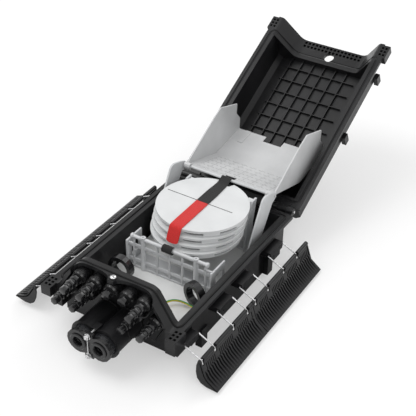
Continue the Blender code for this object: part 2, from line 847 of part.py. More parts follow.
def build_basket(swing):
    half_sheet = basket_sheet / 2
    path = [basket_place(basket_start, -half_sheet), basket_place(basket_fold, -half_sheet),
            basket_place(basket_length, basket_rise)]
    floor = flat_solid("basket", ribbon(path, basket_sheet), "YZ",
                       -basket_half_width + 0.0002, basket_half_width - 0.0002)
    side_view = [(basket_start, -basket_sheet)] + list(basket_side_view)
    side_view += [(basket_length + 0.0005, basket_rise + 0.001), (basket_length, basket_rise - 0.0005),
                  (basket_fold, -basket_sheet - 0.0002)]
    outline = [basket_place(run, rise) for run, rise in side_view]
    walls = [flat_solid("basket_wall", outline, "YZ", low, low + basket_wall)
             for low in (-basket_half_width, basket_half_width - basket_wall)]
    knuckles = []
    for side in (-1, 1):
        knuckles.append(((side * (basket_half_width - basket_knuckle_width), pivot_y, pivot_height),
                         (side * (basket_half_width - 0.0004), pivot_y, pivot_height), basket_knuckle))
    knuckle_work = cylinders("basket_knuckles", knuckles, 14)
    bore = cylinders("basket_bore", [((-arm_outer_x, pivot_y, pivot_height),
                                      (arm_outer_x, pivot_y, pivot_height), pivot_radius + fit)], 12)
    notch_path = [basket_place(basket_length - 0.013, basket_rise - 0.006),
                  basket_place(basket_length + 0.01, basket_rise + 0.004)]
    notch = flat_solid("basket_notch", ribbon(notch_path, 0.02), "YZ", *basket_notch_span)
    rib_path = [basket_place(basket_fold + 0.042, 0.0173), basket_place(basket_length - 0.001, basket_rise)]
    rib = flat_solid("basket_rib", ribbon(rib_path, 0.004), "YZ", *basket_rib_span)
    mix(floor, walls + [knuckle_work, rib], "UNION")
    slot_path = [basket_place(0.001, -half_sheet), basket_place(basket_slot_end, -half_sheet)]
    slot_half = strap_width / 2 + basket_slot_room
    slot = flat_solid("basket_strap_slot", ribbon(slot_path, 0.01), "YZ",
                      strap_middle - slot_half, strap_middle + slot_half)
    mix(floor, [bore, notch, slot], "DIFFERENCE")
    basket = finish_part(floor, grey_plastic)
    set_origin(basket, (0.0, pivot_y, pivot_height))
    hang(basket, swing)


def build_basket_arms():
    foot = plate_top + fit
    front_low, front_bend = arm_front_low
    outline = [(front_low, foot), (front_bend, plate_top + arm_bend_height)]
    for back, rise in ((0.042, 0.012), (0.038, 0.0155), (0.031, 0.017), (0.008, 0.010), (-0.0045, 0.004),
                       (-0.0045, -0.004), (0.008, -0.010)):
        outline.append((pivot_y - back, pivot_height + rise))
    outline.append((arm_rear_low, foot))
    bore = cylinders("arm_bores", [((-arm_outer_x - weld, pivot_y, pivot_height),
                                    (arm_outer_x + weld, pivot_y, pivot_height), pivot_radius + fit)], 12)
    for name, side in (("basket_arm_left", -1), ("basket_arm_right", 1)):
        low = min(side * arm_inner_x, side * arm_outer_x)
        arm = flat_solid(name, outline, "YZ", low, low + arm_thickness)
        sides = sorted((side * (arm_outer_x - arm_foot_width), side * (arm_outer_x - 0.0002)))
        shoe = boxes(name + "_foot", [((sides[0], arm_feet[0], foot),
                                       (sides[1], arm_feet[1], foot + arm_foot_height))])
        mix(arm, [shoe], "UNION")
        mix(arm, [bore], "DIFFERENCE")
        finish_part(arm, grey_plastic)
    bar = cylinders("basket_pivot_bar", [((-arm_outer_x - 0.001, pivot_y, pivot_height),
                                          (arm_outer_x + 0.001, pivot_y, pivot_height), pivot_radius)], 12)
    finish_part(bar, grey_plastic)


# Organiser plate, rings and the lattice frame that carries the trays' front

def build_plate():
    half = cavity_half_width - plate_gap
    plate = boxes("organiser_plate", [((-half, cavity_front_y + plate_gap, plate_under),
                                       (half, cavity_rear_y - plate_gap, plate_top))])
    hole = cylinders("plate_hole", [((*plate_hole_place, plate_under - 0.01),
                                     (*plate_hole_place, plate_top + 0.01), plate_hole_radius)], 12)
    mix(plate, [hole], "DIFFERENCE")
    finish_part(plate, white_plastic)


def build_rings():
    half = ring_width / 2
    for name, side, place in (("cable_ring_left", -1, left_ring), ("cable_ring_right", 1, right_ring)):
        inset, y, turn = place
        ring = turned(name, [(ring_hole, half), (ring_radius, half), (ring_radius, -half), (ring_hole, -half),
                             (ring_hole, half)], 20)
        foot = boxes(name + "_foot", [((-ring_foot_half, -ring_radius - ring_lift, -half + weld),
                                       (ring_foot_half, -ring_hole - weld, half - weld))])
        mix(ring, [foot], "UNION")
        middle = (side * (cavity_half_width - inset), y, plate_top + fit + ring_radius + ring_lift)
        upright = Matrix.Rotation(math.radians(turn), 4, "Z") @ Matrix.Rotation(math.pi / 2, 4, "X")
        ring.matrix_world = Matrix.Translation(middle) @ upright
        foot.matrix_world = ring.matrix_world
        finish_part(ring, black_plastic)


def build_support_frame():
    foot = plate_top + fit
    y0 = frame_y - post_size / 2
    y1 = frame_y + post_size / 2
    half = post_size / 2
    tube_z = frame_tube_height
    posts = boxes("support_frame", mirrored([((post_x - half, y0, foot), (post_x + half, y1, tube_z))]))
    bar = cylinders("frame_tube", [((-frame_tube_half, frame_y, tube_z),
                                    (frame_tube_half, frame_y, tube_z), frame_tube_radius)], 14)
    y2 = frame_y - frame_rail / 2
    y3 = frame_y + frame_rail / 2
    reach = frame_side_x + weld
    levels = [(foot, foot + frame_foot_rail), [plate_top + rise for rise in frame_low_rail],
              [tube_z - drop for drop in frame_top_rail]]
    rails = boxes("frame_rails", [((-reach, y2, low), (reach, y3, high)) for low, high in levels])
    half_upright = frame_upright_width / 2
    uprights = boxes("frame_uprights", [((x - half_upright, y2 - 0.0007, foot),
                                         (x + half_upright, y3 + 0.0007, tube_z)) for x in frame_uprights_x])
    half_side = frame_side_thickness / 2
    plates = boxes("frame_sides", mirrored([((frame_side_x - half_side, frame_y - frame_side_front, foot),
                                             (frame_side_x + half_side, frame_y + frame_side_rear,
                                              tube_z - frame_side_drop))]))
    sill = boxes("frame_sill", [((-frame_side_x, frame_y + 0.0005, foot + 0.0002),
                                 (frame_side_x, frame_y + frame_side_rear - 0.002, foot + 0.0022))])
    hook = boxes("frame_hook", [((frame_side_x - frame_hook_width, frame_y - 0.0022, tube_z - frame_hook[0]),
                                 (frame_side_x + 0.0005, frame_y + 0.0022, tube_z - frame_hook[1]))])
    past = frame_side_x + 0.01
    window = boxes("frame_window", [((-past, frame_y + frame_window_span[0], tube_z - frame_window[0]),
                                     (past, frame_y + frame_window_span[1], tube_z - frame_window[1]))])
    mix(posts, [bar, rails, uprights, plates, sill, hook], "UNION")
    mix(posts, [window], "DIFFERENCE")
    finish_part(posts, grey_plastic)


def tray_places():
    places = []
    for index in range(tray_count):
        places.append((tray_centre_y - index * tray_step, tray_top_height - index * tray_pitch))
    return places


def build_trays():
    radius = tray_radius
    deep = tray_thickness
    profile = [(0.0, 0.0), (radius - 0.002, 0.0), (radius, -0.0012), (radius, -0.0042),
               (radius - 0.0022, -0.0052), (radius - 0.0022, -deep + 0.0012), (radius - 0.0035, -deep),
               (0.0, -deep)]
    for index, (y, z) in enumerate(tray_places()):
        name = "splice_tray_%d" % (index + 1)
        tray = turned(name, profile, 28)
        tray.location = (0.0, y, z)
        ears = boxes(name + "_ears", mirrored([(
            (tray_pin_x - tray_ear_width, y + tray_pin_back + tray_ear_span[0], z - tray_ear_rise[0]),
            (tray_pin_x - 0.0012, y + tray_pin_back + tray_ear_span[1], z - tray_ear_rise[1]))]))
        rods = []
        for side in (-1, 1):
            rods.append(((side * (tray_pin_x - 0.003), y + tray_pin_back, z - tray_pin_drop),
                         (side * (tray_pin_x + 0.003), y + tray_pin_back, z - tray_pin_drop), tray_pin_radius))
        pins = cylinders(name + "_pins", rods, 8)
        notch = boxes(name + "_notch", [((-tray_notch_half, y + radius - tray_notch_depth, z - 0.02),
                                         (tray_notch_half, y + radius + 0.01, z + 0.01))])
        mix(tray, [ears, pins], "UNION")
        mix(tray, [notch], "DIFFERENCE")
        finish_part(tray, white_plastic)


def build_tray_spine():
    foot = plate_top + fit
    places = tray_places()
    top_y, top_z = places[0]
    low_y, low_z = places[-1]
    outline = [(low_y + tray_pin_back - 0.011, foot), (low_y + tray_pin_back - 0.009, low_z - 0.008),
               (top_y + tray_pin_back - 0.007, top_z - 0.001), (top_y + tray_pin_back + 0.007, top_z - 0.001),
               (low_y + tray_pin_back + 0.012, low_z - 0.012), (low_y + tray_pin_back + 0.012, foot)]
    left = flat_solid("tray_spine", outline, "YZ", -tray_pin_x - spine_thickness, -tray_pin_x)
    right = flat_solid("spine_right", outline, "YZ", tray_pin_x, tray_pin_x + spine_thickness)
    cross = boxes("spine_cross", [((-tray_pin_x - 0.001, low_y + tray_pin_back - 0.008, foot + 0.0002),
                                   (tray_pin_x + 0.001, low_y + tray_pin_back + 0.010, foot + 0.003))])
    far = tray_pin_x + spine_thickness + weld
    bores = cylinders("spine_bores", [((-far, y + tray_pin_back, z - tray_pin_drop),
                                       (far, y + tray_pin_back, z - tray_pin_drop), tray_pin_radius + fit)
                                      for y, z in places], 8)
    mix(left, [right, cross], "UNION")
    mix(left, [bores], "DIFFERENCE")
    finish_part(left, grey_plastic)


def build_strap():
    lift = strap_thickness / 2 + fit
    top_y, top_z = tray_places()[0]
    flat = top_z + lift
    wrap = pivot_radius + fit + strap_thickness / 2
    join_y = top_y + 0.002
    drop_to_flat = pivot_height - flat
    lean = math.atan2(-drop_to_flat, -strap_lie) - math.acos(wrap / math.hypot(strap_lie, drop_to_flat))
    leave = lean % (2 * math.pi)
    rear = arc((pivot_y, pivot_height), wrap, math.radians(-110), leave, 8)
    rear += [(pivot_y - strap_lie, flat), (join_y, flat)]
    low = strap_middle - strap_width / 2
    high = low + strap_width
    finish_part(flat_solid("strap_rear", ribbon(rear, strap_thickness), "YZ", low, high), black_fabric)
    edge = top_y - tray_radius
    slope = tray_pitch / tray_step
    foot_y = frame_y + 0.0050
    front = [(join_y - fit, flat), (edge + 0.006, flat), (edge + 0.001, flat - 0.0002),
             (edge - 0.0012, flat - 0.0020), (edge - 0.0017, flat - 0.0040)]
    foot_z = frame_tube_height + frame_tube_radius + 0.0022
    drop = front[-1][1] - foot_z
    front += [(max(front[-1][0] - drop / slope, foot_y), foot_z)]
    finish_part(flat_solid("strap_front", ribbon(front, strap_thickness), "YZ", low, high), red_fabric)
    around = frame_tube_radius + fit + strap_thickness / 2
    loop = arc((frame_y, frame_tube_height), around, math.radians(40), math.radians(330), 12)
    finish_part(flat_solid("strap_loop", ribbon(loop, strap_thickness), "YZ", low, high), black_fabric)


def smooth_route(route, steps):
    # A smooth curve through the route's own points.
    points = [Vector(point) for point in route]
    padded = [points[0] * 2 - points[1]] + points + [points[-1] * 2 - points[-2]]
    curve = []
    for index in range(1, len(padded) - 2):
        a, b, c, d = padded[index - 1:index + 3]
        for step in range(steps):
            t = step / steps
            curve.append(0.5 * ((2 * b) + (c - a) * t + (2 * a - 5 * b + 4 * c - d) * t * t
                                + (3 * b - a - 3 * c + d) * t ** 3))
    curve.append(points[-1])
    return curve


def build_earth_wire():
    finish_part(tube("earth_wire", smooth_route(earth_route, 3), earth_wire_radius), wire_sheath)
    stud = turned("earth_stud", [(0.0, 0.0035), (earth_stud_radius, 0.0035), (earth_stud_radius, 0.0),
                                 (earth_thread_radius, 0.0), (earth_thread_radius, -earth_stud_depth),
                                 (0.0, -earth_stud_depth)], 8)
    stud.rotation_euler = (-math.pi / 2, 0.0, 0.0)
    stud.location = (earth_stud_x, cavity_front_y + fit, earth_stud_height)
    finish_part(stud, steel)


# Ports

def build_plugs():
    gap = fit
    for name, x, rise, long in plugs:
        shank = adapter_reach - 0.0085
        neck = plug_body_radius - 0.0015
        at = gap + plug_knurl_length
        profile = [(0.0, -shank), (plug_shank - 0.0012, -shank), (plug_shank, -shank + 0.0012),
                   (plug_shank, gap), (plug_knurl_radius - 0.0005, gap), (plug_knurl_radius, gap + 0.001),
                   (plug_knurl_radius, at - 0.0015), (plug_knurl_radius - 0.002, at), (neck, at),
                   (neck, at + 0.0015)]
        if long:
            body_end = at + 0.0015 + plug_body_length
            profile += [(plug_body_radius, at + 0.0015), (plug_body_radius, body_end),
                        (neck - 0.001, body_end + 0.001), (neck - 0.001, body_end + 0.003),
                        (plug_cap_radius, body_end + 0.003),
                        (plug_cap_radius, body_end + 0.003 + plug_cap_length - 0.001),
                        (plug_cap_radius - 0.001, body_end + 0.003 + plug_cap_length),
                        (0.0, body_end + 0.003 + plug_cap_length)]
        else:
            profile += [(plug_body_radius, at + 0.0015), (plug_body_radius, at + short_cap_length - 0.001),
                        (plug_body_radius - 0.001, at + short_cap_length), (0.0, at + short_cap_length)]
        plug = turned(name, [(radius, height) for radius, height in reversed(profile)], 10)
        plug.rotation_euler = (math.pi / 2, 0.0, 0.0)
        plug.location = (x, port_adapter_face, rim + rise)
        finish_part(plug, black_plastic)


# Each tether's points beside its plug, from the plug's neck back to the port
tether_span = 0.030
tether_routes = {
    "plug_upper_1": ((-0.0045, 0.0, -0.0095), (-0.006, 0.008, -0.016), (-0.004, 0.020, -0.0165),
                     (0.000, 0.030, -0.0130)),
    "plug_upper_5": ((0.0095, 0.0, 0.0), (0.0165, 0.004, -0.001), (0.0145, 0.014, -0.003),
                     (0.0127, 0.030, -0.003)),
    "plug_lower_1": ((-0.0045, 0.0, -0.0095), (-0.007, 0.008, -0.016), (-0.005, 0.020, -0.0165),
                     (0.000, 0.030, -0.0130)),
    "plug_lower_3": ((0.0045, 0.0, -0.0095), (0.008, 0.002, -0.022), (0.007, 0.018, -0.026),
                     (0.002, 0.030, -0.0129)),
    "plug_lower_4": ((0.0085, 0.0, -0.004), (0.0140, 0.003, -0.008), (0.0120, 0.012, -0.009),
                     (0.0102, 0.030, -0.0081)),
}


def build_tethers():
    # A thin leash from each long plug's neck back to its port.
    run = fit + plug_knurl_length + 0.0015 + plug_body_length + 0.002
    for name, x, rise, long in plugs:
        if name in tether_routes:
            start_y = port_adapter_face - run
            reach = (port_adapter_face + adapter_flange / 2) - start_y
            scale = reach / tether_span
            route = [(x + a, start_y + b * scale, rim + rise + c) for a, b, c in tether_routes[name]]
            tether = tube(name.replace("plug", "tether"), smooth_route(route, 3), tether_radius)
            finish_part(tether, black_rubber)


def build_cable_port():
    inner_end = cavity_front_y + barrel_inside
    outer = two_lobes(barrel_lobe, barrel_front_y, inner_end, "cable_port_barrel", barrel_waist)
    bore = two_lobes(barrel_lobe - barrel_wall, barrel_front_y - 0.001, inner_end + 0.001,
                     "barrel_bore", barrel_waist - barrel_wall)
    lip = two_lobes(barrel_lobe + 0.0016, port_face - 0.0033, port_face - fit,
                    "barrel_collar", barrel_waist + 0.0016)
    lugs = boxes("barrel_lugs", [((-0.0048, barrel_front_y + 0.0002, barrel_z - barrel_lobe + 0.0004),
                                  (0.0048, barrel_front_y + 0.014, barrel_z - barrel_waist + 0.001)),
                                 ((-0.0048, barrel_front_y + 0.0002, barrel_z + barrel_waist - 0.001),
                                  (0.0048, barrel_front_y + 0.014, barrel_z + barrel_lobe - 0.0004))])
    lug_bores = cylinders("barrel_lug_bores", [
        ((0.0, barrel_front_y - 0.01, barrel_z + side * clamp_bolt_reach),
         (0.0, barrel_front_y + 0.012, barrel_z + side * clamp_bolt_reach), clamp_bolt_radius + fit)
        for side in (-1, 1)], 8)
    mix(outer, [lip, lugs], "UNION")
    mix(outer, [bore, lug_bores], "DIFFERENCE")
    finish_part(outer, black_plastic)
    seal = two_lobes(barrel_lobe - barrel_wall - fit, seal_front_y, barrel_front_y + 0.045, "gel_seal",
                     barrel_waist - barrel_wall - fit)
    rods = [((side * barrel_lobe_x, clamp_front_y - 0.01, barrel_z),
             (side * barrel_lobe_x, barrel_front_y + 0.06, barrel_z), cable_bore) for side in (-1, 1)]
    bolt_rods = [((0.0, clamp_front_y - 0.01, barrel_z + side * clamp_bolt_reach),
                  (0.0, barrel_front_y + 0.06, barrel_z + side * clamp_bolt_reach),
                  clamp_bolt_radius + fit) for side in (-1, 1)]
    seal_cable_bores = cylinders("seal_cable_bores", rods, 14)
    mix(seal, [seal_cable_bores], "DIFFERENCE")
    finish_part(seal, seal_gel)
    clamp = two_lobes(clamp_lobe, clamp_front_y, seal_front_y - fit, "clamp_plate", 0.004)
    hub_pad = boxes("clamp_bridge", [((-0.0075, clamp_front_y + 0.0005, barrel_z - 0.0225),
                                      (0.0075, seal_front_y - fit - 0.0002, barrel_z + 0.0225))])
    clamp_cable_bores = cylinders("clamp_cable_bores", rods, 14)
    clamp_bolt_bores = cylinders("clamp_bolt_bores", bolt_rods, 8)
    mix(clamp, [hub_pad], "UNION")
    mix(clamp, [clamp_cable_bores, clamp_bolt_bores], "DIFFERENCE")
    finish_part(clamp, black_plastic)
    for name, side in (("clamp_bolt_upper", 1), ("clamp_bolt_lower", -1)):
        shaft = barrel_front_y + 0.011 - clamp_front_y
        bolt = turned(name, [(0.0, bolt_head_length + 0.0016),
                             (bolt_head_radius - 0.002, bolt_head_length + 0.0012),
                             (bolt_head_radius, bolt_head_length - 0.001), (bolt_head_radius, 0.0),
                             (clamp_bolt_radius, 0.0), (clamp_bolt_radius, -shaft), (0.0, -shaft)], 12)
        bolt.rotation_euler = (math.pi / 2, 0.0, 0.0)
        bolt.location = (0.0, clamp_front_y - fit, barrel_z + side * clamp_bolt_reach)
        finish_part(bolt, steel)


def build_valve():
    valve = turned("test_valve", [(0.0, 0.0042), (0.0042, 0.0036), (0.0066, 0.0016), (0.0068, 0.0003),
                                  (0.004, 0.0003), (0.004, -0.0046), (0.0, -0.0046)], 14)
    valve.location = (0.0, valve_y, rim + arch_height)
    finish_part(valve, steel)


# Latches

def bail_route(start, end, reach):
    # Stub, leg, crossbar, leg and stub, in the bail's own plane with its pivot on the Y axis.
    bend = bail_corner
    path = [(0.0, start + bail_stub)]
    path += rounded_corner((0.0, start + bail_stub), (0.0, start), (reach, start), bend * 0.6, 2)
    path += rounded_corner((0.0, start), (reach, start), (reach, end), bend, 2)
    path += rounded_corner((reach, start), (reach, end), (0.0, end), bend, 2)
    path += rounded_corner((reach, end), (0.0, end), (0.0, end - bail_stub), bend * 0.6, 2)
    path += [(0.0, end - bail_stub)]
    return [(a, b, 0.0) for a, b in path]


def build_latches():
    reach = bail_length * math.cos(bail_droop)
    sink = bail_length * math.sin(bail_droop)
    for side_name, side in (("right", 1), ("left", -1)):
        tilt = bail_droop if side > 0 else math.pi - bail_droop
        for wing_index, wing_name in ((0, "front"), (1, "rear")):
            label = side_name + "_" + wing_name
            spans = bail_spans[wing_index * 2:wing_index * 2 + 2]
            middle = (spans[0][0] + spans[1][1]) / 2
            pivot = (side * bail_pivot_x, middle, bail_pivot_z)
            axis = axis_empty("bail_axis_" + label, pivot)
            for number, (start, end) in enumerate(spans):
                bail = tube("bail_%s_%d" % (label, number + 1),
                            bail_route(start - middle, end - middle, bail_length), wire_radius)
                bail.data.transform(Matrix.Rotation(tilt, 4, "Y"))
                bail.location = pivot
                finish_part(bail, steel)
                hang(bail, axis)
            tip = (pivot[0] + side * reach, pivot[2] - sink)
            wing_axis = axis_empty("wing_axis_" + label, (tip[0], middle, tip[1]), parent=axis)
            build_wing("wing_" + label, side, tip, wing_spans[wing_index], spans, wing_index, wing_axis)
            if side < 0:
                wing_axis.rotation_euler = (0.0, wing_lift_left, 0.0)


def build_wing(name, side, tip, span, spans, wing_index, wing_axis):
    start, end = span
    tip_x, tip_z = tip
    fold = (tip_x + side * comb_out, tip_z - comb_drop)
    outer = (fold[0] + side * flange_out, fold[1] - flange_drop)
    sheet = ribbon([(tip_x + side * 0.0006, tip_z - 0.0018), fold, outer], wing_thickness)
    wing = flat_solid(name, sheet, "XZ", start, end)
    bead = cylinders(name + "_bead", [((tip_x, start + 0.0002, tip_z),
                                       (tip_x, end - 0.0002, tip_z), bead_radius)], 12)
    comb_turn = Matrix.Rotation(-side * math.atan2(comb_out, comb_drop), 4, "Y")
    flange_length = math.hypot(flange_out, flange_drop)
    flange_turn = Matrix.Rotation(side * math.atan2(flange_drop, flange_out), 4, "Y")
    comb_middle = Vector(((tip_x + fold[0]) / 2 + side * 0.0008, 0.0, (tip_z + fold[1]) / 2 - 0.0022))
    slots = []
    count = int((end - start - 0.012) / slot_pitch)
    first = (start + end - (count - 1) * slot_pitch) / 2
    for index in range(count):
        place = Matrix.Translation((comb_middle.x, first + index * slot_pitch, comb_middle.z))
        slots.append(place @ comb_turn)
    slot_work = turned_boxes(name + "_slots", slots, (wing_thickness * 3, slot_width, slot_length))
    fingers = []
    count = int((end - start - 0.004) / finger_pitch)
    first = (start + end - (count - 1) * finger_pitch) / 2
    off_sheet = Vector((side * flange_drop, 0.0, flange_out)).normalized()
    rise = off_sheet * (wing_thickness / 2 + finger_height / 2 - 0.0005)
    middle_x = (fold[0] + outer[0]) / 2 + side * 0.0012 + rise.x
    middle_z = (fold[1] + outer[1]) / 2 - 0.0009 + rise.z
    for index in range(count):
        fingers.append(Matrix.Translation((middle_x, first + index * finger_pitch, middle_z)) @ flange_turn)
    finger_size = (flange_length - 0.0045, finger_width, finger_height)
    finger_work = turned_boxes(name + "_fingers", fingers, finger_size)
    outline = [(tip_x + side * a, tip_z + b) for a, b in end_plate_outline]
    end_start = start if wing_index == 0 else end - end_plate_thickness
    end_plate = flat_solid(name + "_end", outline, "XZ", end_start + 0.0001,
                           end_start + end_plate_thickness - 0.0001)
    notches = []
    for pair in spans:
        for leg in pair:
            low = max(leg - leg_notch / 2, start - 0.004)
            notches.append(((tip_x - leg_notch, low, tip_z - leg_notch - 0.0004),
                            (tip_x + leg_notch, leg + leg_notch / 2, tip_z + leg_notch + 0.0004)))
    notch_work = boxes(name + "_notches", notches)
    bores = cylinders(name + "_bores", [((tip_x, pair[0] - weld, tip_z), (tip_x, pair[1] + weld, tip_z),
                                         wire_radius + fit) for pair in spans], 8)
    mix(wing, [bead, end_plate, finger_work], "UNION")
    mix(wing, [slot_work, notch_work, bores], "DIFFERENCE")
    settle(wing)
    finish_part(wing, black_plastic)
    set_origin(wing, (tip_x, (start + end) / 2, tip_z))
    hang(wing, wing_axis)


def build_all():
    build_base()
    build_rim_seal()
    build_hinge_pins()
    build_plate()
    build_rings()
    build_support_frame()
    build_trays()
    build_tray_spine()
    build_strap()
    build_earth_wire()
    build_plugs()
    build_tethers()
    build_cable_port()
    build_valve()
    build_basket_arms()
    lid_swing = axis_empty("lid_hinge_axis", (0.0, hinge_y, hinge_z))
    build_lid(lid_swing)
    lid_swing.rotation_euler = (-lid_open, 0.0, 0.0)
    basket_swing = axis_empty("basket_pivot_axis", (0.0, pivot_y, pivot_height))
    build_basket(basket_swing)
    build_latches()
    bpy.context.view_layer.update()


build_all()
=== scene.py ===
import json
import math

import bmesh
import bpy
from mathutils import Matrix, Quaternion, Vector

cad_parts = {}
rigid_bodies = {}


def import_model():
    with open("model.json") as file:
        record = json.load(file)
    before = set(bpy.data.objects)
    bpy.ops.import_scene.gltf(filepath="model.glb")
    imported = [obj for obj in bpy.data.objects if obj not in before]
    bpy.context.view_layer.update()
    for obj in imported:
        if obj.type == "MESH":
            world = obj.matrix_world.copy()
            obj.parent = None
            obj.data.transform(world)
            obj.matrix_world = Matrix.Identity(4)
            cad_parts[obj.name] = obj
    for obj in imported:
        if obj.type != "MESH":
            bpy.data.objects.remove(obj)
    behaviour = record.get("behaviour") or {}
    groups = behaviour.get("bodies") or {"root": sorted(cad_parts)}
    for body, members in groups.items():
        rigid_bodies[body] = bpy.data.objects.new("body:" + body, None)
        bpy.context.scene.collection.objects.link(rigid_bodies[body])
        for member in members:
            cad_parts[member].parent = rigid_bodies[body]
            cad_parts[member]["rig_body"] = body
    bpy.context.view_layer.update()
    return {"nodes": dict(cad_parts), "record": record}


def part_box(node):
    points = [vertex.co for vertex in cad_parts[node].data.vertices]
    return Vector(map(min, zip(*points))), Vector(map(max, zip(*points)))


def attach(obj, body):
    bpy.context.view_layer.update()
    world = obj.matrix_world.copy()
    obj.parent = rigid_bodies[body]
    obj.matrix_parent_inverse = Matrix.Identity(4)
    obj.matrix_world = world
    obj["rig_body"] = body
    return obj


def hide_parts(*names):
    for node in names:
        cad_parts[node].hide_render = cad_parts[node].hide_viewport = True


# Fibre distribution hub box, lid and basket swung back, latch wings let down.
# Metres throughout. X runs across the box, +Y from the cable ports to the hinge, +Z up.

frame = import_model()
nodes = frame["nodes"]
print("frame loaded,", len(nodes), "nodes")

scene = bpy.context.scene
scene.view_settings.view_transform = "Standard"

cameraSet = {"place": (0.6476, -1.0008, 0.9888), "target": (-0.0137, 0.1097, 0.0780),
             "roll": 1.43, "lens": 83.4, "sensor": 36.0, "farEnd": 20.0}


def addCamera(made):
    data = bpy.data.cameras.new("camera")
    data.lens = made["lens"]
    data.sensor_width = made["sensor"]
    data.clip_end = made["farEnd"]
    camera = bpy.data.objects.new("camera", data)
    scene.collection.objects.link(camera)
    place = Vector(made["place"])
    look = (Vector(made["target"]) - place).to_track_quat("-Z", "Y")
    camera.location = place
    camera.rotation_euler = (look @ Quaternion((0, 0, 1), math.radians(made["roll"]))).to_euler()
    scene.camera = camera


addCamera(cameraSet)
print("camera set")


# Small helpers for meshes

weldGap = 0.00002
poleGap = 0.000002


def cleanCopy(nodeName):
    # A welded copy of a node's mesh, its triangles kept so that no face spans an opening.
    bm = bmesh.new()
    bm.from_mesh(nodes[nodeName].data)
    bmesh.ops.remove_doubles(bm, verts=bm.verts, dist=weldGap)
    return bm


def bodyOf(nodeName):
    return nodes[nodeName]["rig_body"]


def middleOf(corners):
    return [(near + far) / 2 for near, far in zip(*corners)]


def placePiece(name, bm, material, body, stands=(), smooth=35.0):
    bmesh.ops.recalc_face_normals(bm, faces=bm.faces)
    mesh = bpy.data.meshes.new(name)
    bm.to_mesh(mesh)
    bm.free()
    mesh.materials.append(material)
    mesh.shade_smooth()
    mesh.set_sharp_from_angle(angle=math.radians(smooth))
    piece = bpy.data.objects.new(name, mesh)
    scene.collection.objects.link(piece)
    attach(piece, body)
    if stands:
        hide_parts(*stands)
    return piece


def softenEdges(piece, width, segments=2, angle=35.0):
    edge = piece.modifiers.new("rounded edges", "BEVEL")
    edge.width = width
    edge.segments = segments
    edge.limit_method = "ANGLE"
    edge.angle_limit = math.radians(angle)
    edge.harden_normals = False
    edge.use_clamp_overlap = True
    edge.miter_outer = "MITER_SHARP"  # an arc miter tears the base's faces
    shading = piece.modifiers.new("flat faces shade flat", "WEIGHTED_NORMAL")
    shading.weight = 100  # the largest faces decide
    shading.keep_sharp = True


def addWall(piece, thickness):
    wall = piece.modifiers.new("wall", "SOLIDIFY")
    wall.thickness = thickness
    wall.offset = 0.0


# Materials

grainSet = {"cloudDetail": 4.0, "cloudRough": 0.55, "fineDetail": 2.0, "fineRough": 0.6, "fineDepth": 0.0002,
            "noiseFrom": 0.3, "noiseTo": 0.7, "rampFrom": 0.35, "rampTo": 0.65,
            "glowReach": (0.004, 0.004, 0.004)}
streakSet = {"detail": 3.0, "rough": 0.6, "bump": 0.15, "depth": 0.0001}
weaveSet = {"distortion": 1.5, "detail": 1.0, "fuzzScale": 900.0, "fuzzDetail": 4.0, "fuzzRough": 0.7,
            "bump": 0.6, "depth": 0.0004, "rough": 0.9, "sheenRough": 0.5}


def newMaterial(name):
    material = bpy.data.materials.new(name)
    material.use_nodes = True
    tree = material.node_tree
    shader = tree.nodes["Principled BSDF"]
    return material, tree, shader


def addNode(tree, kind, settings=None, **values):
    node = tree.nodes.new("ShaderNode" + kind)
    for key, value in (settings or {}).items():
        setattr(node, key, value)
    for key, value in values.items():
        node.inputs[key.replace("_", " ")].default_value = value
    return node


def objectPlace(tree):
    return addNode(tree, "TexCoord").outputs["Object"]


def speckle(tree, place, scale, detail, roughness):
    noise = addNode(tree, "TexNoise", Scale=scale, Detail=detail, Roughness=roughness)
    tree.links.new(place, noise.inputs["Vector"])
    return noise.outputs["Fac"]


def shadesOf(tree, factor, dark, light):
    ramp = addNode(tree, "ValToRGB")
    ramp.color_ramp.elements[0].position = grainSet["rampFrom"]
    ramp.color_ramp.elements[0].color = (*dark, 1.0)
    ramp.color_ramp.elements[1].position = grainSet["rampTo"]
    ramp.color_ramp.elements[1].color = (*light, 1.0)
    tree.links.new(factor, ramp.inputs["Fac"])
    return ramp.outputs["Color"]


def spanOf(tree, factor, low, high):
    span = addNode(tree, "MapRange", From_Min=grainSet["noiseFrom"], From_Max=grainSet["noiseTo"],
                   To_Min=low, To_Max=high)
    tree.links.new(factor, span.inputs["Value"])
    return span.outputs["Result"]


def addBump(tree, shader, height, strength, depth):
    bump = addNode(tree, "Bump", Strength=strength, Distance=depth)
    tree.links.new(height, bump.inputs["Height"])
    tree.links.new(bump.outputs["Normal"], shader.inputs["Normal"])


def mouldedPlastic(name, made):
    # Cloudy tone, fine spark-eroded grain and uneven gloss, as on a moulded housing.
    material, tree, shader = newMaterial(name)
    place = objectPlace(tree)
    cloud = speckle(tree, place, made["cloudScale"], grainSet["cloudDetail"], grainSet["cloudRough"])
    grain = speckle(tree, place, made["grainScale"], grainSet["fineDetail"], grainSet["fineRough"])
    colour = shadesOf(tree, cloud, made["dark"], made["light"])
    tree.links.new(colour, shader.inputs["Base Color"])
    tree.links.new(spanOf(tree, cloud, *made["gloss"]), shader.inputs["Roughness"])
    addBump(tree, shader, grain, made["grain"], grainSet["fineDepth"])
    shader.inputs["Specular IOR Level"].default_value = made.get("shine", 0.5)
    if "glow" in made:
        shader.inputs["Subsurface Weight"].default_value = made["glow"]
        shader.inputs["Subsurface Radius"].default_value = grainSet["glowReach"]
        shader.inputs["Subsurface Scale"].default_value = 1.0
    return material


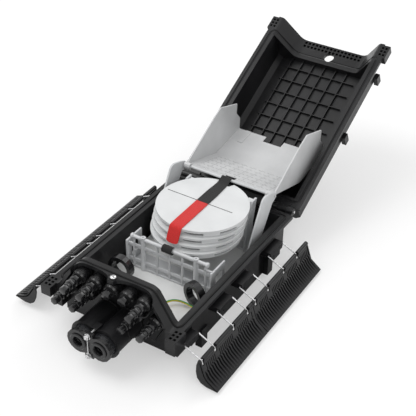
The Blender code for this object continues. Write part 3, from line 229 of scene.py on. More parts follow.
blackHousing = mouldedPlastic("blackHousing", {
    "dark": (0.0055, 0.0055, 0.006), "light": (0.0105, 0.0105, 0.0115), "cloudScale": 18.0,
    "grainScale": 1500.0, "grain": 0.25, "gloss": (0.30, 0.42), "shine": 0.3})
blackFitting = mouldedPlastic("blackFitting", {
    "dark": (0.006, 0.006, 0.0065), "light": (0.013, 0.013, 0.014), "cloudScale": 60.0,
    "grainScale": 1800.0, "grain": 0.12, "gloss": (0.17, 0.28), "shine": 0.5})
sealRubber = mouldedPlastic("sealRubber", {
    "dark": (0.004, 0.004, 0.004), "light": (0.008, 0.008, 0.0085), "cloudScale": 90.0,
    "grainScale": 2200.0, "grain": 0.2, "gloss": (0.50, 0.65), "shine": 0.2})
wireGreen = mouldedPlastic("wireGreen", {
    "dark": (0.020, 0.19, 0.035), "light": (0.035, 0.26, 0.050), "cloudScale": 120.0,
    "grainScale": 2000.0, "grain": 0.1, "gloss": (0.30, 0.42), "shine": 0.4})
wireYellow = mouldedPlastic("wireYellow", {
    "dark": (0.62, 0.44, 0.02), "light": (0.74, 0.56, 0.03), "cloudScale": 120.0,
    "grainScale": 2000.0, "grain": 0.1, "gloss": (0.30, 0.42), "shine": 0.4})
greyMoulding = mouldedPlastic("greyMoulding", {
    "dark": (0.50, 0.51, 0.52), "light": (0.58, 0.59, 0.60), "cloudScale": 22.0,
    "grainScale": 1400.0, "grain": 0.2, "gloss": (0.34, 0.46)})
milkyBasket = mouldedPlastic("milkyBasket", {
    "dark": (0.50, 0.505, 0.51), "light": (0.58, 0.585, 0.59), "cloudScale": 14.0,
    "grainScale": 1200.0, "grain": 0.15, "gloss": (0.30, 0.42), "glow": 0.2})
# Painted shade: a darker grey for the basket floor's dashes, standing in for the shade inside its slots.
dashPaintedShade = mouldedPlastic("dashPaintedShade", {
    "dark": (0.22, 0.225, 0.23), "light": (0.30, 0.305, 0.31), "cloudScale": 60.0,
    "grainScale": 1200.0, "grain": 0.1, "gloss": (0.40, 0.52)})
paleTray = mouldedPlastic("paleTray", {
    "dark": (0.60, 0.61, 0.615), "light": (0.67, 0.68, 0.685), "cloudScale": 16.0,
    "grainScale": 1600.0, "grain": 0.15, "gloss": (0.28, 0.40)})
palePlate = mouldedPlastic("palePlate", {
    "dark": (0.66, 0.665, 0.66), "light": (0.74, 0.745, 0.74), "cloudScale": 12.0,
    "grainScale": 1500.0, "grain": 0.15, "gloss": (0.30, 0.42)})
cableGel = mouldedPlastic("cableGel", {
    "dark": (0.010, 0.0105, 0.012), "light": (0.019, 0.020, 0.023), "cloudScale": 70.0,
    "grainScale": 900.0, "grain": 0.1, "gloss": (0.22, 0.34)})
# Painted shade: a dark grey for the floors of the tray slots and the seam lines on the top tray, standing in
# for the shade inside those gaps.
paintedGapShade = mouldedPlastic("paintedGapShade", {
    "dark": (0.05, 0.05, 0.05), "light": (0.09, 0.09, 0.09), "cloudScale": 40.0,
    "grainScale": 900.0, "grain": 0.1, "gloss": (0.5, 0.6), "shine": 0.2})


def drawnSteel(name, made):
    material, tree, shader = newMaterial(name)
    streak = speckle(tree, objectPlace(tree), made["streakScale"], streakSet["detail"], streakSet["rough"])
    tree.links.new(shadesOf(tree, streak, made["dark"], made["light"]), shader.inputs["Base Color"])
    tree.links.new(spanOf(tree, streak, *made["gloss"]), shader.inputs["Roughness"])
    addBump(tree, shader, streak, streakSet["bump"], streakSet["depth"])
    shader.inputs["Metallic"].default_value = 1.0
    return material


steelWire = drawnSteel("steelWire", {"dark": (0.48, 0.48, 0.49), "light": (0.66, 0.66, 0.67),
                                     "streakScale": 400.0, "gloss": (0.22, 0.36)})
steelBolt = drawnSteel("steelBolt", {"dark": (0.50, 0.50, 0.51), "light": (0.72, 0.72, 0.72),
                                     "streakScale": 600.0, "gloss": (0.18, 0.32)})


def wovenStrap(name, made):
    # Hook-and-loop webbing: threads both ways along X and Y, with a fuzz of short fibres.
    material, tree, shader = newMaterial(name)
    place = objectPlace(tree)
    weave = addNode(tree, "Math", {"operation": "MULTIPLY"})
    for index, direction in enumerate(("X", "Y")):
        threads = addNode(tree, "TexWave", {"wave_type": "BANDS", "bands_direction": direction},
                          Scale=made["threadScale"], Distortion=weaveSet["distortion"],
                          Detail=weaveSet["detail"])
        tree.links.new(place, threads.inputs["Vector"])
        tree.links.new(threads.outputs["Fac"], weave.inputs[index])
    fuzz = speckle(tree, place, weaveSet["fuzzScale"], weaveSet["fuzzDetail"], weaveSet["fuzzRough"])
    both = addNode(tree, "Math", {"operation": "ADD"})
    tree.links.new(weave.outputs["Value"], both.inputs[0])
    tree.links.new(fuzz, both.inputs[1])
    tree.links.new(shadesOf(tree, fuzz, made["dark"], made["light"]), shader.inputs["Base Color"])
    addBump(tree, shader, both.outputs["Value"], weaveSet["bump"], weaveSet["depth"])
    shader.inputs["Roughness"].default_value = weaveSet["rough"]
    shader.inputs["Sheen Weight"].default_value = made["sheen"]
    shader.inputs["Sheen Roughness"].default_value = weaveSet["sheenRough"]
    return material


redWebbing = wovenStrap("redWebbing", {"dark": (0.46, 0.012, 0.010), "light": (0.66, 0.022, 0.020),
                                       "threadScale": 220.0, "sheen": 0.15})
blackWebbing = wovenStrap("blackWebbing", {"dark": (0.006, 0.006, 0.006), "light": (0.016, 0.016, 0.016),
                                           "threadScale": 220.0, "sheen": 0.04})
print("materials made")


# Light, floor and background

lightSet = {
    "world": 0.62,
    "lamps": (
        {"name": "keyLamp", "place": (-1.3, -0.5, 2.3), "size": 1.7, "power": 34.0},
        {"name": "fillLamp", "place": (1.8, -1.2, 1.6), "size": 1.5, "power": 14.0},
        {"name": "rimLamp", "place": (0.2, 2.2, 1.7), "size": 1.4, "power": 16.0},
    ),
    "aim": (0.0, 0.1, 0.05),
}
floorSet = {"half": 8.0, "drop": 0.0005, "tone": 0.93, "rough": 0.9, "shine": 0.1, "ownWhite": 0.45}
white = (1.0, 1.0, 1.0, 1.0)


def addLights(made):
    for lamp in made["lamps"]:
        data = bpy.data.lights.new(lamp["name"], "AREA")
        data.size = lamp["size"]
        data.energy = lamp["power"]
        light = bpy.data.objects.new(lamp["name"], data)
        scene.collection.objects.link(light)
        light.location = lamp["place"]
        aim = Vector(made["aim"]) - Vector(lamp["place"])
        light.rotation_euler = aim.to_track_quat("-Z", "Y").to_euler()


def addWorld(strength):
    # White where it is seen, mirrored or looked through, and softer as light.
    world = bpy.data.worlds.new("studio")
    scene.world = world
    world.use_nodes = True
    tree = world.node_tree
    room = tree.nodes["Background"]
    room.inputs["Color"].default_value = white
    room.inputs["Strength"].default_value = strength
    backdrop = addNode(tree, "Background", Color=white, Strength=1.0)
    rays = addNode(tree, "LightPath")
    seen = addNode(tree, "Math", {"operation": "MAXIMUM"})
    clear = addNode(tree, "Math", {"operation": "MAXIMUM"})
    pick = addNode(tree, "MixShader")
    tree.links.new(rays.outputs["Is Camera Ray"], seen.inputs[0])
    tree.links.new(rays.outputs["Is Glossy Ray"], seen.inputs[1])
    tree.links.new(seen.outputs["Value"], clear.inputs[0])
    tree.links.new(rays.outputs["Is Transmission Ray"], clear.inputs[1])
    tree.links.new(clear.outputs["Value"], pick.inputs[0])
    tree.links.new(room.outputs["Background"], pick.inputs[1])
    tree.links.new(backdrop.outputs["Background"], pick.inputs[2])
    tree.links.new(pick.outputs["Shader"], tree.nodes["World Output"].inputs["Surface"])


def addFloor(made):
    bm = bmesh.new()
    bmesh.ops.create_grid(bm, x_segments=4, y_segments=4, size=made["half"])
    bmesh.ops.translate(bm, verts=bm.verts, vec=(0.0, 0.0, -made["drop"]))
    mesh = bpy.data.meshes.new("floor")
    bm.to_mesh(mesh)
    bm.free()
    floor = bpy.data.objects.new("floor", mesh)
    scene.collection.objects.link(floor)
    material, tree, shader = newMaterial("paperFloor")
    shader.inputs["Base Color"].default_value = (made["tone"], made["tone"], made["tone"], 1.0)
    shader.inputs["Roughness"].default_value = made["rough"]
    shader.inputs["Specular IOR Level"].default_value = made["shine"]
    glow = addNode(tree, "Emission", Color=white, Strength=1.0)
    rays = addNode(tree, "LightPath")
    part = addNode(tree, "Math", {"operation": "MULTIPLY"})
    part.inputs[1].default_value = made["ownWhite"]
    pick = addNode(tree, "MixShader")
    tree.links.new(rays.outputs["Is Camera Ray"], part.inputs[0])
    tree.links.new(part.outputs["Value"], pick.inputs[0])
    tree.links.new(shader.outputs["BSDF"], pick.inputs[1])
    tree.links.new(glow.outputs["Emission"], pick.inputs[2])
    tree.links.new(pick.outputs["Shader"], tree.nodes["Material Output"].inputs["Surface"])
    mesh.materials.append(material)


addLights(lightSet)
addWorld(lightSet["world"])
addFloor(floorSet)
print("studio made")


# Shapes that several pieces share

towardsFront = Matrix.Rotation(math.pi / 2, 4, "X")
towardsBack = Matrix.Rotation(-math.pi / 2, 4, "X")
alongX = Matrix.Rotation(math.pi / 2, 4, "Y")


def vertsOf(items):
    return [item for item in items if isinstance(item, bmesh.types.BMVert)]


def roundOff(shape, width):
    bmesh.ops.bevel(shape, geom=shape.edges[:], offset=width, segments=2, profile=0.5,
                    affect="EDGES", material=-1)


def spun(profile, steps, closed=False):
    # Radius and height pairs turned about Z.
    shape = bmesh.new()
    points = [shape.verts.new((radius, 0.0, height)) for radius, height in profile]
    pairs = list(zip(points, points[1:]))
    if closed:
        pairs.append((points[-1], points[0]))
    edges = [shape.edges.new(pair) for pair in pairs]
    bmesh.ops.spin(shape, geom=points + edges, cent=(0, 0, 0), axis=(0, 0, 1), angle=math.tau,
                   steps=steps, use_merge=True)
    bmesh.ops.remove_doubles(shape, verts=shape.verts, dist=poleGap)
    return shape


def block(size, place, rounded=0.0):
    shape = bmesh.new()
    bmesh.ops.create_cube(shape, size=1.0)
    bmesh.ops.scale(shape, vec=size, verts=shape.verts)
    if rounded:
        roundOff(shape, rounded)
    bmesh.ops.translate(shape, vec=place, verts=shape.verts)
    return shape


def prism(sides, radius, low, high, rounded=0.0):
    shape = bmesh.new()
    bmesh.ops.create_cone(shape, cap_ends=True, segments=sides, radius1=radius, radius2=radius,
                          depth=high - low)
    bmesh.ops.translate(shape, vec=(0, 0, (low + high) / 2), verts=shape.verts)
    if rounded:
        roundOff(shape, rounded)
    return shape


def cutPlate(outline, start, end):
    # A flat outline in X and Z, given its thickness along Y.
    shape = bmesh.new()
    face = shape.faces.new([shape.verts.new((x, start, z)) for x, z in outline])
    grown = bmesh.ops.extrude_face_region(shape, geom=[face])
    bmesh.ops.translate(shape, vec=(0, end - start, 0), verts=vertsOf(grown["geom"]))
    return shape


def growRow(sheet, front):
    # The next row of a sheet: its points, and the edges that the row after it starts from.
    grown = bmesh.ops.extrude_edge_only(sheet, edges=front)["geom"]
    moved = vertsOf(grown)
    ahead = [item for item in grown if isinstance(item, bmesh.types.BMEdge)
             and all(point in moved for point in item.verts)]
    return moved, ahead


def addShape(bm, shape, place=None, finish=0):
    # Joins one shape to a piece, in its place and with its own finish.
    if place is not None:
        bmesh.ops.transform(shape, matrix=place, verts=shape.verts)
    for face in shape.faces:
        face.material_index = finish
    mesh = bpy.data.meshes.new("shape")
    shape.to_mesh(mesh)
    shape.free()
    bm.from_mesh(mesh)
    bpy.data.meshes.remove(mesh)


# Drop plugs: ribbed coupling nut, two sealing rings, stepped body, collar and six-sided cap
# Profiles are radius and height pairs; a stage is its sides, radius, two heights and rounding.

plugForm = {
    "shank": 0.0085, "longFrom": 0.05, "around": 40,
    "nut": ((0.0, -0.0082), (0.0055, -0.0082), (0.0059, -0.0075), (0.0059, 0.0003), (0.0097, 0.0003),
            (0.0103, 0.0011), (0.0103, 0.0153), (0.0087, 0.0171), (0.0081, 0.0183), (0.0, 0.0183)),
    "ridges": 26, "ridge": (0.0014, 0.0013, 0.0131), "ridgePlace": (0.0102, 0.0, 0.00835),
    "ridgeEdge": 0.0002,
    "rings": (0.0187, 0.0201), "ringRadius": 0.0086, "ringThick": 0.00055, "ringSides": 8, "ringAround": 32,
    "waist": (24, 0.0083, 0.0179, 0.0209),
    "longStages": ((8, 0.0079, 0.0207, 0.0288, 0.0006), (16, 0.0062, 0.0273, 0.0348, 0.0004),
                   (6, 0.0078, 0.0333, 0.0383, 0.0006), (24, 0.0056, 0.0373, 0.0421),
                   (6, 0.0062, 0.0439, 0.0539, 0.0007)),
    "collar": ((0.0, 0.0413), (0.0062, 0.0413), (0.0064, 0.0418), (0.0064, 0.0435), (0.0056, 0.0441),
               (0.0, 0.0441)),
    "collarAround": 24,
    "shortStages": ((6, 0.0074, 0.0207, 0.0294, 0.0007),),
    "tab": (0.0030, 0.0105, 0.0040), "tabPlace": (0.0, 0.0, 0.0272), "tabEdge": 0.0005,
}


def makePlug(nodeName, form):
    low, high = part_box(nodeName)
    isLong = high[1] - low[1] > form["longFrom"]
    x, _, z = middleOf((low, high))
    seat = Matrix.Translation((x, high[1] - form["shank"], z)) @ towardsFront
    bm = bmesh.new()
    addShape(bm, spun(form["nut"], form["around"]), seat)
    for index in range(form["ridges"]):
        turn = Matrix.Rotation(math.tau * index / form["ridges"], 4, "Z")
        addShape(bm, block(form["ridge"], form["ridgePlace"], form["ridgeEdge"]), seat @ turn)
    thick, sides = form["ringThick"], form["ringSides"]
    for height in form["rings"]:
        turns = [step * math.tau / sides for step in range(sides)]
        ring = [(form["ringRadius"] + thick * math.cos(turn), height + thick * math.sin(turn))
                for turn in turns]
        addShape(bm, spun(ring, form["ringAround"], closed=True), seat, 1)
    addShape(bm, prism(*form["waist"]), seat)
    for stage in form["longStages"] if isLong else form["shortStages"]:
        addShape(bm, prism(*stage), seat)
    if isLong:
        addShape(bm, spun(form["collar"], form["collarAround"]), seat)
    else:
        addShape(bm, block(form["tab"], form["tabPlace"], form["tabEdge"]), seat)
    piece = placePiece(nodeName + "_plug", bm, blackFitting, bodyOf(nodeName), [nodeName])
    piece.data.materials.append(sealRubber)


for nodeName in list(nodes):
    if nodeName.startswith("plug_"):
        makePlug(nodeName, plugForm)
print("plugs made")


# Splice trays: round lid with a rolled edge over a slotted skirt, ears and pins at the back

trayForm = {
    "trays": 4, "around": 96, "lid": 0.0044, "skirtIn": 0.0022, "depth": 0.0107, "edge": (0.0006, 2, 40.0),
    "notchHalf": 0.0125, "notchLap": 0.001, "notchBack": 0.0645,
    "slotEvery": 12, "slotFirst": 2, "slotLast": 9, "slotRim": 0.0012, "slotIn": 0.0030, "slotsEnd": 0.05,
    "skirtBand": 0.0006, "upright": 0.3,
    "earX": (0.050, 0.0588), "earY": (0.040, 0.060), "earHigh": 0.0050, "earZ": -0.0056, "earEdge": 0.0006,
    "pinX": 0.0600, "pinY": 0.056, "pin": (16, 0.0018, -0.0030, 0.0030),
    "seam": (0.0009, 0.0006), "seamY": 0.004, "seamSunk": 0.0001, "seamEdge": 0.0001,
    "seamSpans": ((-0.0690, -0.0135), (0.0095, 0.0520)),
}


def cutTraySlots(tray, form):
    middle = -(form["lid"] + form["depth"]) / 2
    for first in range(0, form["around"], form["slotEvery"]):
        wanted = []
        for face in tray.faces:
            spot = face.calc_center_median()
            turn = int((math.atan2(spot.y, spot.x) % math.tau) / math.tau * form["around"])
            onSkirt = abs(spot.z - middle) < form["skirtBand"] and abs(face.normal.z) < form["upright"]
            inSpan = first + form["slotFirst"] <= turn < first + form["slotLast"]
            if onSkirt and spot.y < form["slotsEnd"] and inSpan:
                wanted.append(face)
        if wanted:
            bmesh.ops.inset_region(tray, faces=wanted, thickness=form["slotRim"], depth=0.0,
                                   use_even_offset=True)
            sunk = bmesh.ops.extrude_face_region(tray, geom=wanted)["geom"]
            for point in vertsOf(sunk):
                point.co -= Vector((point.co.x, point.co.y, 0.0)).normalized() * form["slotIn"]
            # The sunk slot floors take the second material, painted shade for the dark inside of each slot.
            for item in sunk:
                if isinstance(item, bmesh.types.BMFace):
                    item.material_index = 1
            bmesh.ops.delete(tray, geom=wanted, context="FACES_ONLY")


def makeTray(nodeName, form, isTop):
    low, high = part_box(nodeName)
    radius = (high[0] - low[0]) / 2
    notch = form["notchHalf"]
    tray = bmesh.new()
    bmesh.ops.create_circle(tray, cap_ends=True, segments=form["around"], radius=radius)
    for point in tray.verts:
        if point.co.y > 0 and abs(point.co.x) < notch + form["notchLap"]:
            point.co.y = form["notchBack"]
            point.co.x = max(-notch, min(notch, point.co.x))
    grown = bmesh.ops.extrude_face_region(tray, geom=tray.faces[:])["geom"]
    bmesh.ops.translate(tray, vec=(0, 0, -form["lid"]), verts=vertsOf(grown))
    under = [item for item in grown if isinstance(item, bmesh.types.BMFace)]
    bmesh.ops.inset_region(tray, faces=under, thickness=form["skirtIn"], use_even_offset=True)
    skirt = bmesh.ops.extrude_face_region(tray, geom=under)["geom"]
    bmesh.ops.translate(tray, vec=(0, 0, form["lid"] - form["depth"]), verts=vertsOf(skirt))
    bmesh.ops.delete(tray, geom=under, context="FACES_ONLY")
    bmesh.ops.recalc_face_normals(tray, faces=tray.faces)
    cutTraySlots(tray, form)
    inner, outer = form["earX"]
    near, far = form["earY"]
    for side in (-1, 1):
        addShape(tray, block((outer - inner, far - near, form["earHigh"]),
                             (side * (inner + outer) / 2, (near + far) / 2, form["earZ"]), form["earEdge"]))
        pinPlace = Matrix.Translation((side * form["pinX"], form["pinY"], form["earZ"]))
        addShape(tray, prism(*form["pin"]), pinPlace @ alongX)
    if isTop:
        width, rise = form["seam"]
        # The seam lines are drawn in painted shade, dark as the gap between the top tray's halves.
        for start, end in form["seamSpans"]:
            spot = ((start + end) / 2, form["seamY"], rise / 2 - form["seamSunk"])
            addShape(tray, block((end - start, width, rise), spot, form["seamEdge"]), finish=1)
    bmesh.ops.translate(tray, vec=((low[0] + high[0]) / 2, low[1] + radius, high[2]), verts=tray.verts)
    piece = placePiece(nodeName + "_shell", tray, paleTray, bodyOf(nodeName), [nodeName])
    piece.data.materials.append(paintedGapShade)
    softenEdges(piece, *form["edge"])


for number in range(1, trayForm["trays"] + 1):
    makeTray("splice_tray_%d" % number, trayForm, number == 1)
print("trays made")


# Lattice frame: round posts with ring heads, a tube with knobbed ends, rails, uprights and side plates
# The post's foot is measured from the frame's foot, its head and ring from the tube's middle.

latticeForm = {
    "fromFront": 0.005, "tubeDrop": 0.0045, "tubeAround": 28, "postX": 0.0485, "postAround": 24,
    "tube": ((0.0, -0.0710), (0.0035, -0.0710), (0.0045, -0.0701), (0.0045, -0.0670), (0.0031, -0.0658),
             (0.0033, 0.0), (0.0031, 0.0658), (0.0045, 0.0670), (0.0045, 0.0701), (0.0035, 0.0710),
             (0.0, 0.0710)),
    "postFoot": ((0.0, 0.0), (0.0047, 0.0), (0.0047, 0.003), (0.0041, 0.004)),
    "postHead": ((0.0041, -0.0020), (0.0035, 0.0030), (0.0, 0.0030)),
    "ring": ((0.0018, 0.0028), (0.0042, 0.0028), (0.0045, 0.0034), (0.0042, 0.0043), (0.0018, 0.0043)),
    "sideX": 0.0775, "sideThick": 0.003, "sideTop": 0.0492, "sideIn": 0.0002, "sideEdge": 0.0003,
    "window": (0.008, 0.028, 0.0147, 0.0367), "windowLap": 0.001,
    "rails": ((0.0000, 0.0040), (0.0117, 0.0177), (0.0387, 0.0457)), "rail": 0.0028, "barEdge": 0.0005,
    "uprights": (-0.0660, -0.0220, 0.0010, 0.0240, 0.0660), "upright": (0.0028, 0.0038),
    "pegPitch": 0.0095, "pegHigh": 0.0422, "peg": (10, 0.0009, -0.0004, 0.0005),
    "hook": (0.0140, 0.0038, 0.0038), "hookX": 0.0705, "hookDrop": 0.0102, "hookEdge": 0.0010,
    "floor": (0.0330, 0.0020), "floorY": 0.0170, "floorZ": 0.0012, "floorEdge": 0.0004,
}


def makeLattice(form):
    low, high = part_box("support_frame")
    foot = low[2]
    frontY = low[1] + form["fromFront"]
    tubeZ = high[2] - form["tubeDrop"]
    sideX = form["sideX"]
    bm = bmesh.new()
    addShape(bm, spun(form["tube"], form["tubeAround"]), Matrix.Translation((0, frontY, tubeZ)) @ alongX)
    column = [(radius, foot + rise) for radius, rise in form["postFoot"]]
    column += [(radius, tubeZ + rise) for radius, rise in form["postHead"]]
    ring = [(radius, tubeZ + rise) for radius, rise in form["ring"]]
    front, rear, sill, lintel = form["window"]
    top = foot + form["sideTop"]
    windowLow, windowHigh = frontY + front - form["windowLap"], frontY + rear + form["windowLap"]
    spans = ((low[1] + form["sideIn"], frontY + front, foot, top),
             (frontY + rear, high[1] - form["sideIn"], foot, top),
             (windowLow, windowHigh, foot, foot + sill),
             (windowLow, windowHigh, foot + lintel, top))
    for side in (-1, 1):
        post = Matrix.Translation((side * form["postX"], frontY, 0))
        addShape(bm, spun(column, form["postAround"]), post)
        addShape(bm, spun(ring, form["tubeAround"], closed=True), post)
        for near, far, under, over in spans:
            addShape(bm, block((form["sideThick"], far - near, over - under),
                               (side * sideX, (near + far) / 2, (under + over) / 2), form["sideEdge"]))
    for under, over in form["rails"]:
        addShape(bm, block((sideX * 2, form["rail"], over - under),
                           (0, frontY, foot + (under + over) / 2), form["barEdge"]))
    for x in form["uprights"]:
        addShape(bm, block((*form["upright"], tubeZ - foot), (x, frontY, (tubeZ + foot) / 2),
                           form["barEdge"]))
    count = int(sideX * 2 / form["pegPitch"])
    for index in range(count):
        x = (index - (count - 1) / 2) * form["pegPitch"]
        peg = Matrix.Translation((x, frontY - form["rail"] / 2, foot + form["pegHigh"])) @ towardsFront
        addShape(bm, prism(*form["peg"]), peg)
    addShape(bm, block(form["hook"], (form["hookX"], frontY, tubeZ - form["hookDrop"]), form["hookEdge"]))
    addShape(bm, block((sideX * 2, *form["floor"]), (0, frontY + form["floorY"], foot + form["floorZ"]),
                       form["floorEdge"]))
    placePiece("trayFrame", bm, greyMoulding, bodyOf("support_frame"), ["support_frame"])


makeLattice(latticeForm)
print("lattice frame made")


# Latch wings: a bead on the wires, a slotted comb, a rounded fold and a ribbed flange

wingForm = {
    "comb": (0.0090, -0.0272), "flange": (0.0210, -0.0152), "fold": 0.0075, "foldSteps": 5, "sheet": 0.0024,
    "inset": 0.0002, "sheetFrom": 0.0030, "slotFrom": 0.0085, "slotTo": 0.0190, "slotPitch": 0.0044,
    "slotWidth": 0.0019, "slotClear": 0.004, "legClear": 0.0052, "legHalf": 0.0028,
    "bead": 0.0034, "bore": 0.0015, "beadAround": 16, "beadShortest": 0.0015,
    "ribPitch": 0.0058, "ribWidth": 0.0024, "ribHeight": 0.0026, "ribSunk": 0.0004, "ribRoom": 0.004,
    "smooth": 40.0, "sheetEdge": (0.0003, 1, 50.0), "ribEdge": (0.0004, 1, 40.0), "endThick": 0.0026,
    "endPlate": ((-0.0030, 0.0010), (-0.0055, -0.0080), (-0.0060, -0.0200), (-0.0040, -0.0310),
                 (0.0020, -0.0385), (0.0120, -0.0420), (0.0280, -0.0425), (0.0290, -0.0402),
                 (0.0120, -0.0272), (0.0025, -0.0005)),
    "legs": {"front": (-0.169, -0.135, -0.0835, -0.042), "rear": (-0.018, 0.021, 0.072, 0.117)},
    "lift": {"left": 14.0, "right": 0.0},
}


def wingPath(form):
    # The comb and flange in side view, with the fold rounded off.
    fold = Vector(form["comb"])
    down = fold.normalized()
    out = Vector(form["flange"]).normalized()
    reach = form["fold"]
    path = [down * form["sheetFrom"], down * form["slotFrom"], down * form["slotTo"]]
    start, end = fold - down * reach, fold + out * reach
    for step in range(form["foldSteps"] + 1):
        t = step / form["foldSteps"]
        path.append(start * (1 - t) ** 2 + fold * (2 * t * (1 - t)) + end * t ** 2)
    path.append(fold + Vector(form["flange"]))
    return path


def besidePath(path, lift):
    # The path moved out to one side by the lift.
    moved = []
    for index, point in enumerate(path):
        run = (path[min(index + 1, len(path) - 1)] - path[max(index - 1, 0)]).normalized()
        moved.append((point.x - run.y * lift, point.y + run.x * lift))
    return moved


def evenlySpaced(start, end, count, pitch):
    return [(start + end) / 2 + (index - (count - 1) / 2) * pitch for index in range(count)]


def wingSheet(path, form, start, end, legs, gaps):
    slots = []
    half = form["slotWidth"] / 2
    for middle in evenlySpaced(start, end, int((end - start) / form["slotPitch"]), form["slotPitch"]):
        offLegs = min(abs(middle - leg) for leg in legs) > form["legClear"]
        if offLegs and start + form["slotClear"] < middle < end - form["slotClear"]:
            slots.append((middle - half, middle + half))
    rows = sorted({start, end, *(edge for span in slots + gaps for edge in span)})
    sheet = bmesh.new()
    points = [sheet.verts.new((point.x, rows[0], point.y)) for point in path]
    front = [sheet.edges.new(pair) for pair in zip(points, points[1:])]
    for before, after in zip(rows, rows[1:]):
        moved, front = growRow(sheet, front)
        bmesh.ops.translate(sheet, vec=(0, after - before, 0), verts=moved)
    down = Vector(form["comb"]).normalized()
    holes = []
    for face in sheet.faces:
        spot = face.calc_center_median()
        run = spot.x * down.x + spot.z * down.y
        inSlot = any(near < spot.y < far for near, far in slots)
        inGap = any(near < spot.y < far for near, far in gaps)
        if (inSlot and form["slotFrom"] < run < form["slotTo"]) or (inGap and run < form["slotFrom"]):
            holes.append(face)
    bmesh.ops.delete(sheet, geom=holes, context="FACES")
    return sheet


def wingRibs(path, form, start, end, gaps, seat, endName):
    ribs = bmesh.new()
    under = besidePath(path[2:], form["sheet"] / 2 - form["ribSunk"])
    over = besidePath(path[2:], form["sheet"] / 2 + form["ribHeight"])
    over[0], over[-1] = under[0], under[-1]
    half = form["ribWidth"] / 2
    count = int((end - start - form["ribRoom"]) / form["ribPitch"])
    for middle in evenlySpaced(start, end, count, form["ribPitch"]):
        addShape(ribs, cutPlate(under + over[-2:0:-1], middle - half, middle + half), seat)
    edges = [start] + [edge for gap in gaps for edge in gap] + [end]
    for near, far in zip(edges[::2], edges[1::2]):
        if far - near > form["beadShortest"]:
            ring = [(form["bore"], near), (form["bead"], near), (form["bead"], far), (form["bore"], far)]
            addShape(ribs, spun(ring, form["beadAround"], closed=True), seat @ towardsBack)
    ends = (start, start + form["endThick"]) if endName == "front" else (end - form["endThick"], end)
    addShape(ribs, cutPlate(form["endPlate"], *ends), seat)
    return ribs


def makeWing(sideName, endName, form):
    nodeName = "wing_%s_%s" % (sideName, endName)
    joint = [item for item in frame["record"]["behaviour"]["joints"] if item["child"] == nodeName][0]
    tip = Vector(joint["pos_m"])
    low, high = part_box(nodeName)
    start, end = low[1] + form["inset"], high[1] - form["inset"]
    seat = Matrix.Translation((tip.x, 0, tip.z))
    seat = seat @ Matrix.Rotation(math.radians(form["lift"][sideName]), 4, "Y")
    if sideName == "left":
        seat = seat @ Matrix.Diagonal((-1, 1, 1, 1))
    path = wingPath(form)
    legs = form["legs"][endName]
    gaps = [(max(leg - form["legHalf"], start), min(leg + form["legHalf"], end)) for leg in legs]

    sheet = wingSheet(path, form, start, end, legs, gaps)
    bmesh.ops.transform(sheet, matrix=seat, verts=sheet.verts)
    web = placePiece(nodeName + "_web", sheet, blackHousing, bodyOf(nodeName), [nodeName],
                     form["smooth"])
    addWall(web, form["sheet"])
    softenEdges(web, *form["sheetEdge"])

    ribs = wingRibs(path, form, start, end, gaps, seat, endName)
    piece = placePiece(nodeName + "_ribs", ribs, blackHousing, bodyOf(nodeName), [nodeName],
                       form["smooth"])
    softenEdges(piece, *form["ribEdge"])


for sideName in ("left", "right"):
    for endName in ("front", "rear"):
        makeWing(sideName, endName, wingForm)
print("wings made")


# Strap: black webbing from the pivot bar, a red tab over it with a round end, a loop on the tube
# Runs are pairs along Y and Z: behind the bar and above the tray, or from the tray's front edge.

strapForm = {
    "middle": -0.002, "half": 0.0092, "wide": 0.0106, "across": 6, "thick": 0.0015, "overTray": 0.0011,
    "smooth": 60.0, "edge": (0.0003, 2, 50.0),
    "barWrap": 0.0036, "barFrom": -110, "barTurn": 218, "barSteps": 10,
    "loopWrap": 0.0058, "loopFrom": 40, "loopTurn": 290, "loopSteps": 18,
    "rearRun": ((-0.010, 0.0011), (-0.017, 0.0), (-0.045, 0.0)), "rearEnd": 0.0722, "rearWideRows": 2,
    "frontStart": 0.0717, "frontFlat": 0.040,
    "frontRun": ((0.012, 0.0), (0.005, -0.0001), (0.001, -0.0006), (-0.0013, -0.0024), (-0.0030, -0.0060),
                 (-0.0072, -0.0150), (-0.0105, -0.0220), (-0.0112, -0.0235), (-0.0116, -0.0244),
                 (-0.0118, -0.0249)),
    "tipShares": (0.97, 0.80, 0.52, 0.12),
}


def makeStrap(nodeName, path, halves, material, form):
    middle, across = form["middle"], form["across"]
    strap = bmesh.new()
    y, z = path[0]
    row = [strap.verts.new((middle + halves[0] * (2 * step / across - 1), y, z))
           for step in range(across + 1)]
    front = [strap.edges.new(pair) for pair in zip(row, row[1:])]
    for index in range(1, len(path)):
        moved, front = growRow(strap, front)
        for point in moved:
            point.co.x = middle + (point.co.x - middle) * halves[index] / halves[index - 1]
            point.co.y, point.co.z = path[index]
    piece = placePiece(nodeName + "_webbing", strap, material, bodyOf(nodeName), [nodeName],
                       form["smooth"])
    addWall(piece, form["thick"])
    softenEdges(piece, *form["edge"])


def arcPath(y, z, radius, first, turn, steps):
    turns = [math.radians(first + turn * step / steps) for step in range(steps + 1)]
    return [(y + radius * math.cos(angle), z + radius * math.sin(angle)) for angle in turns]


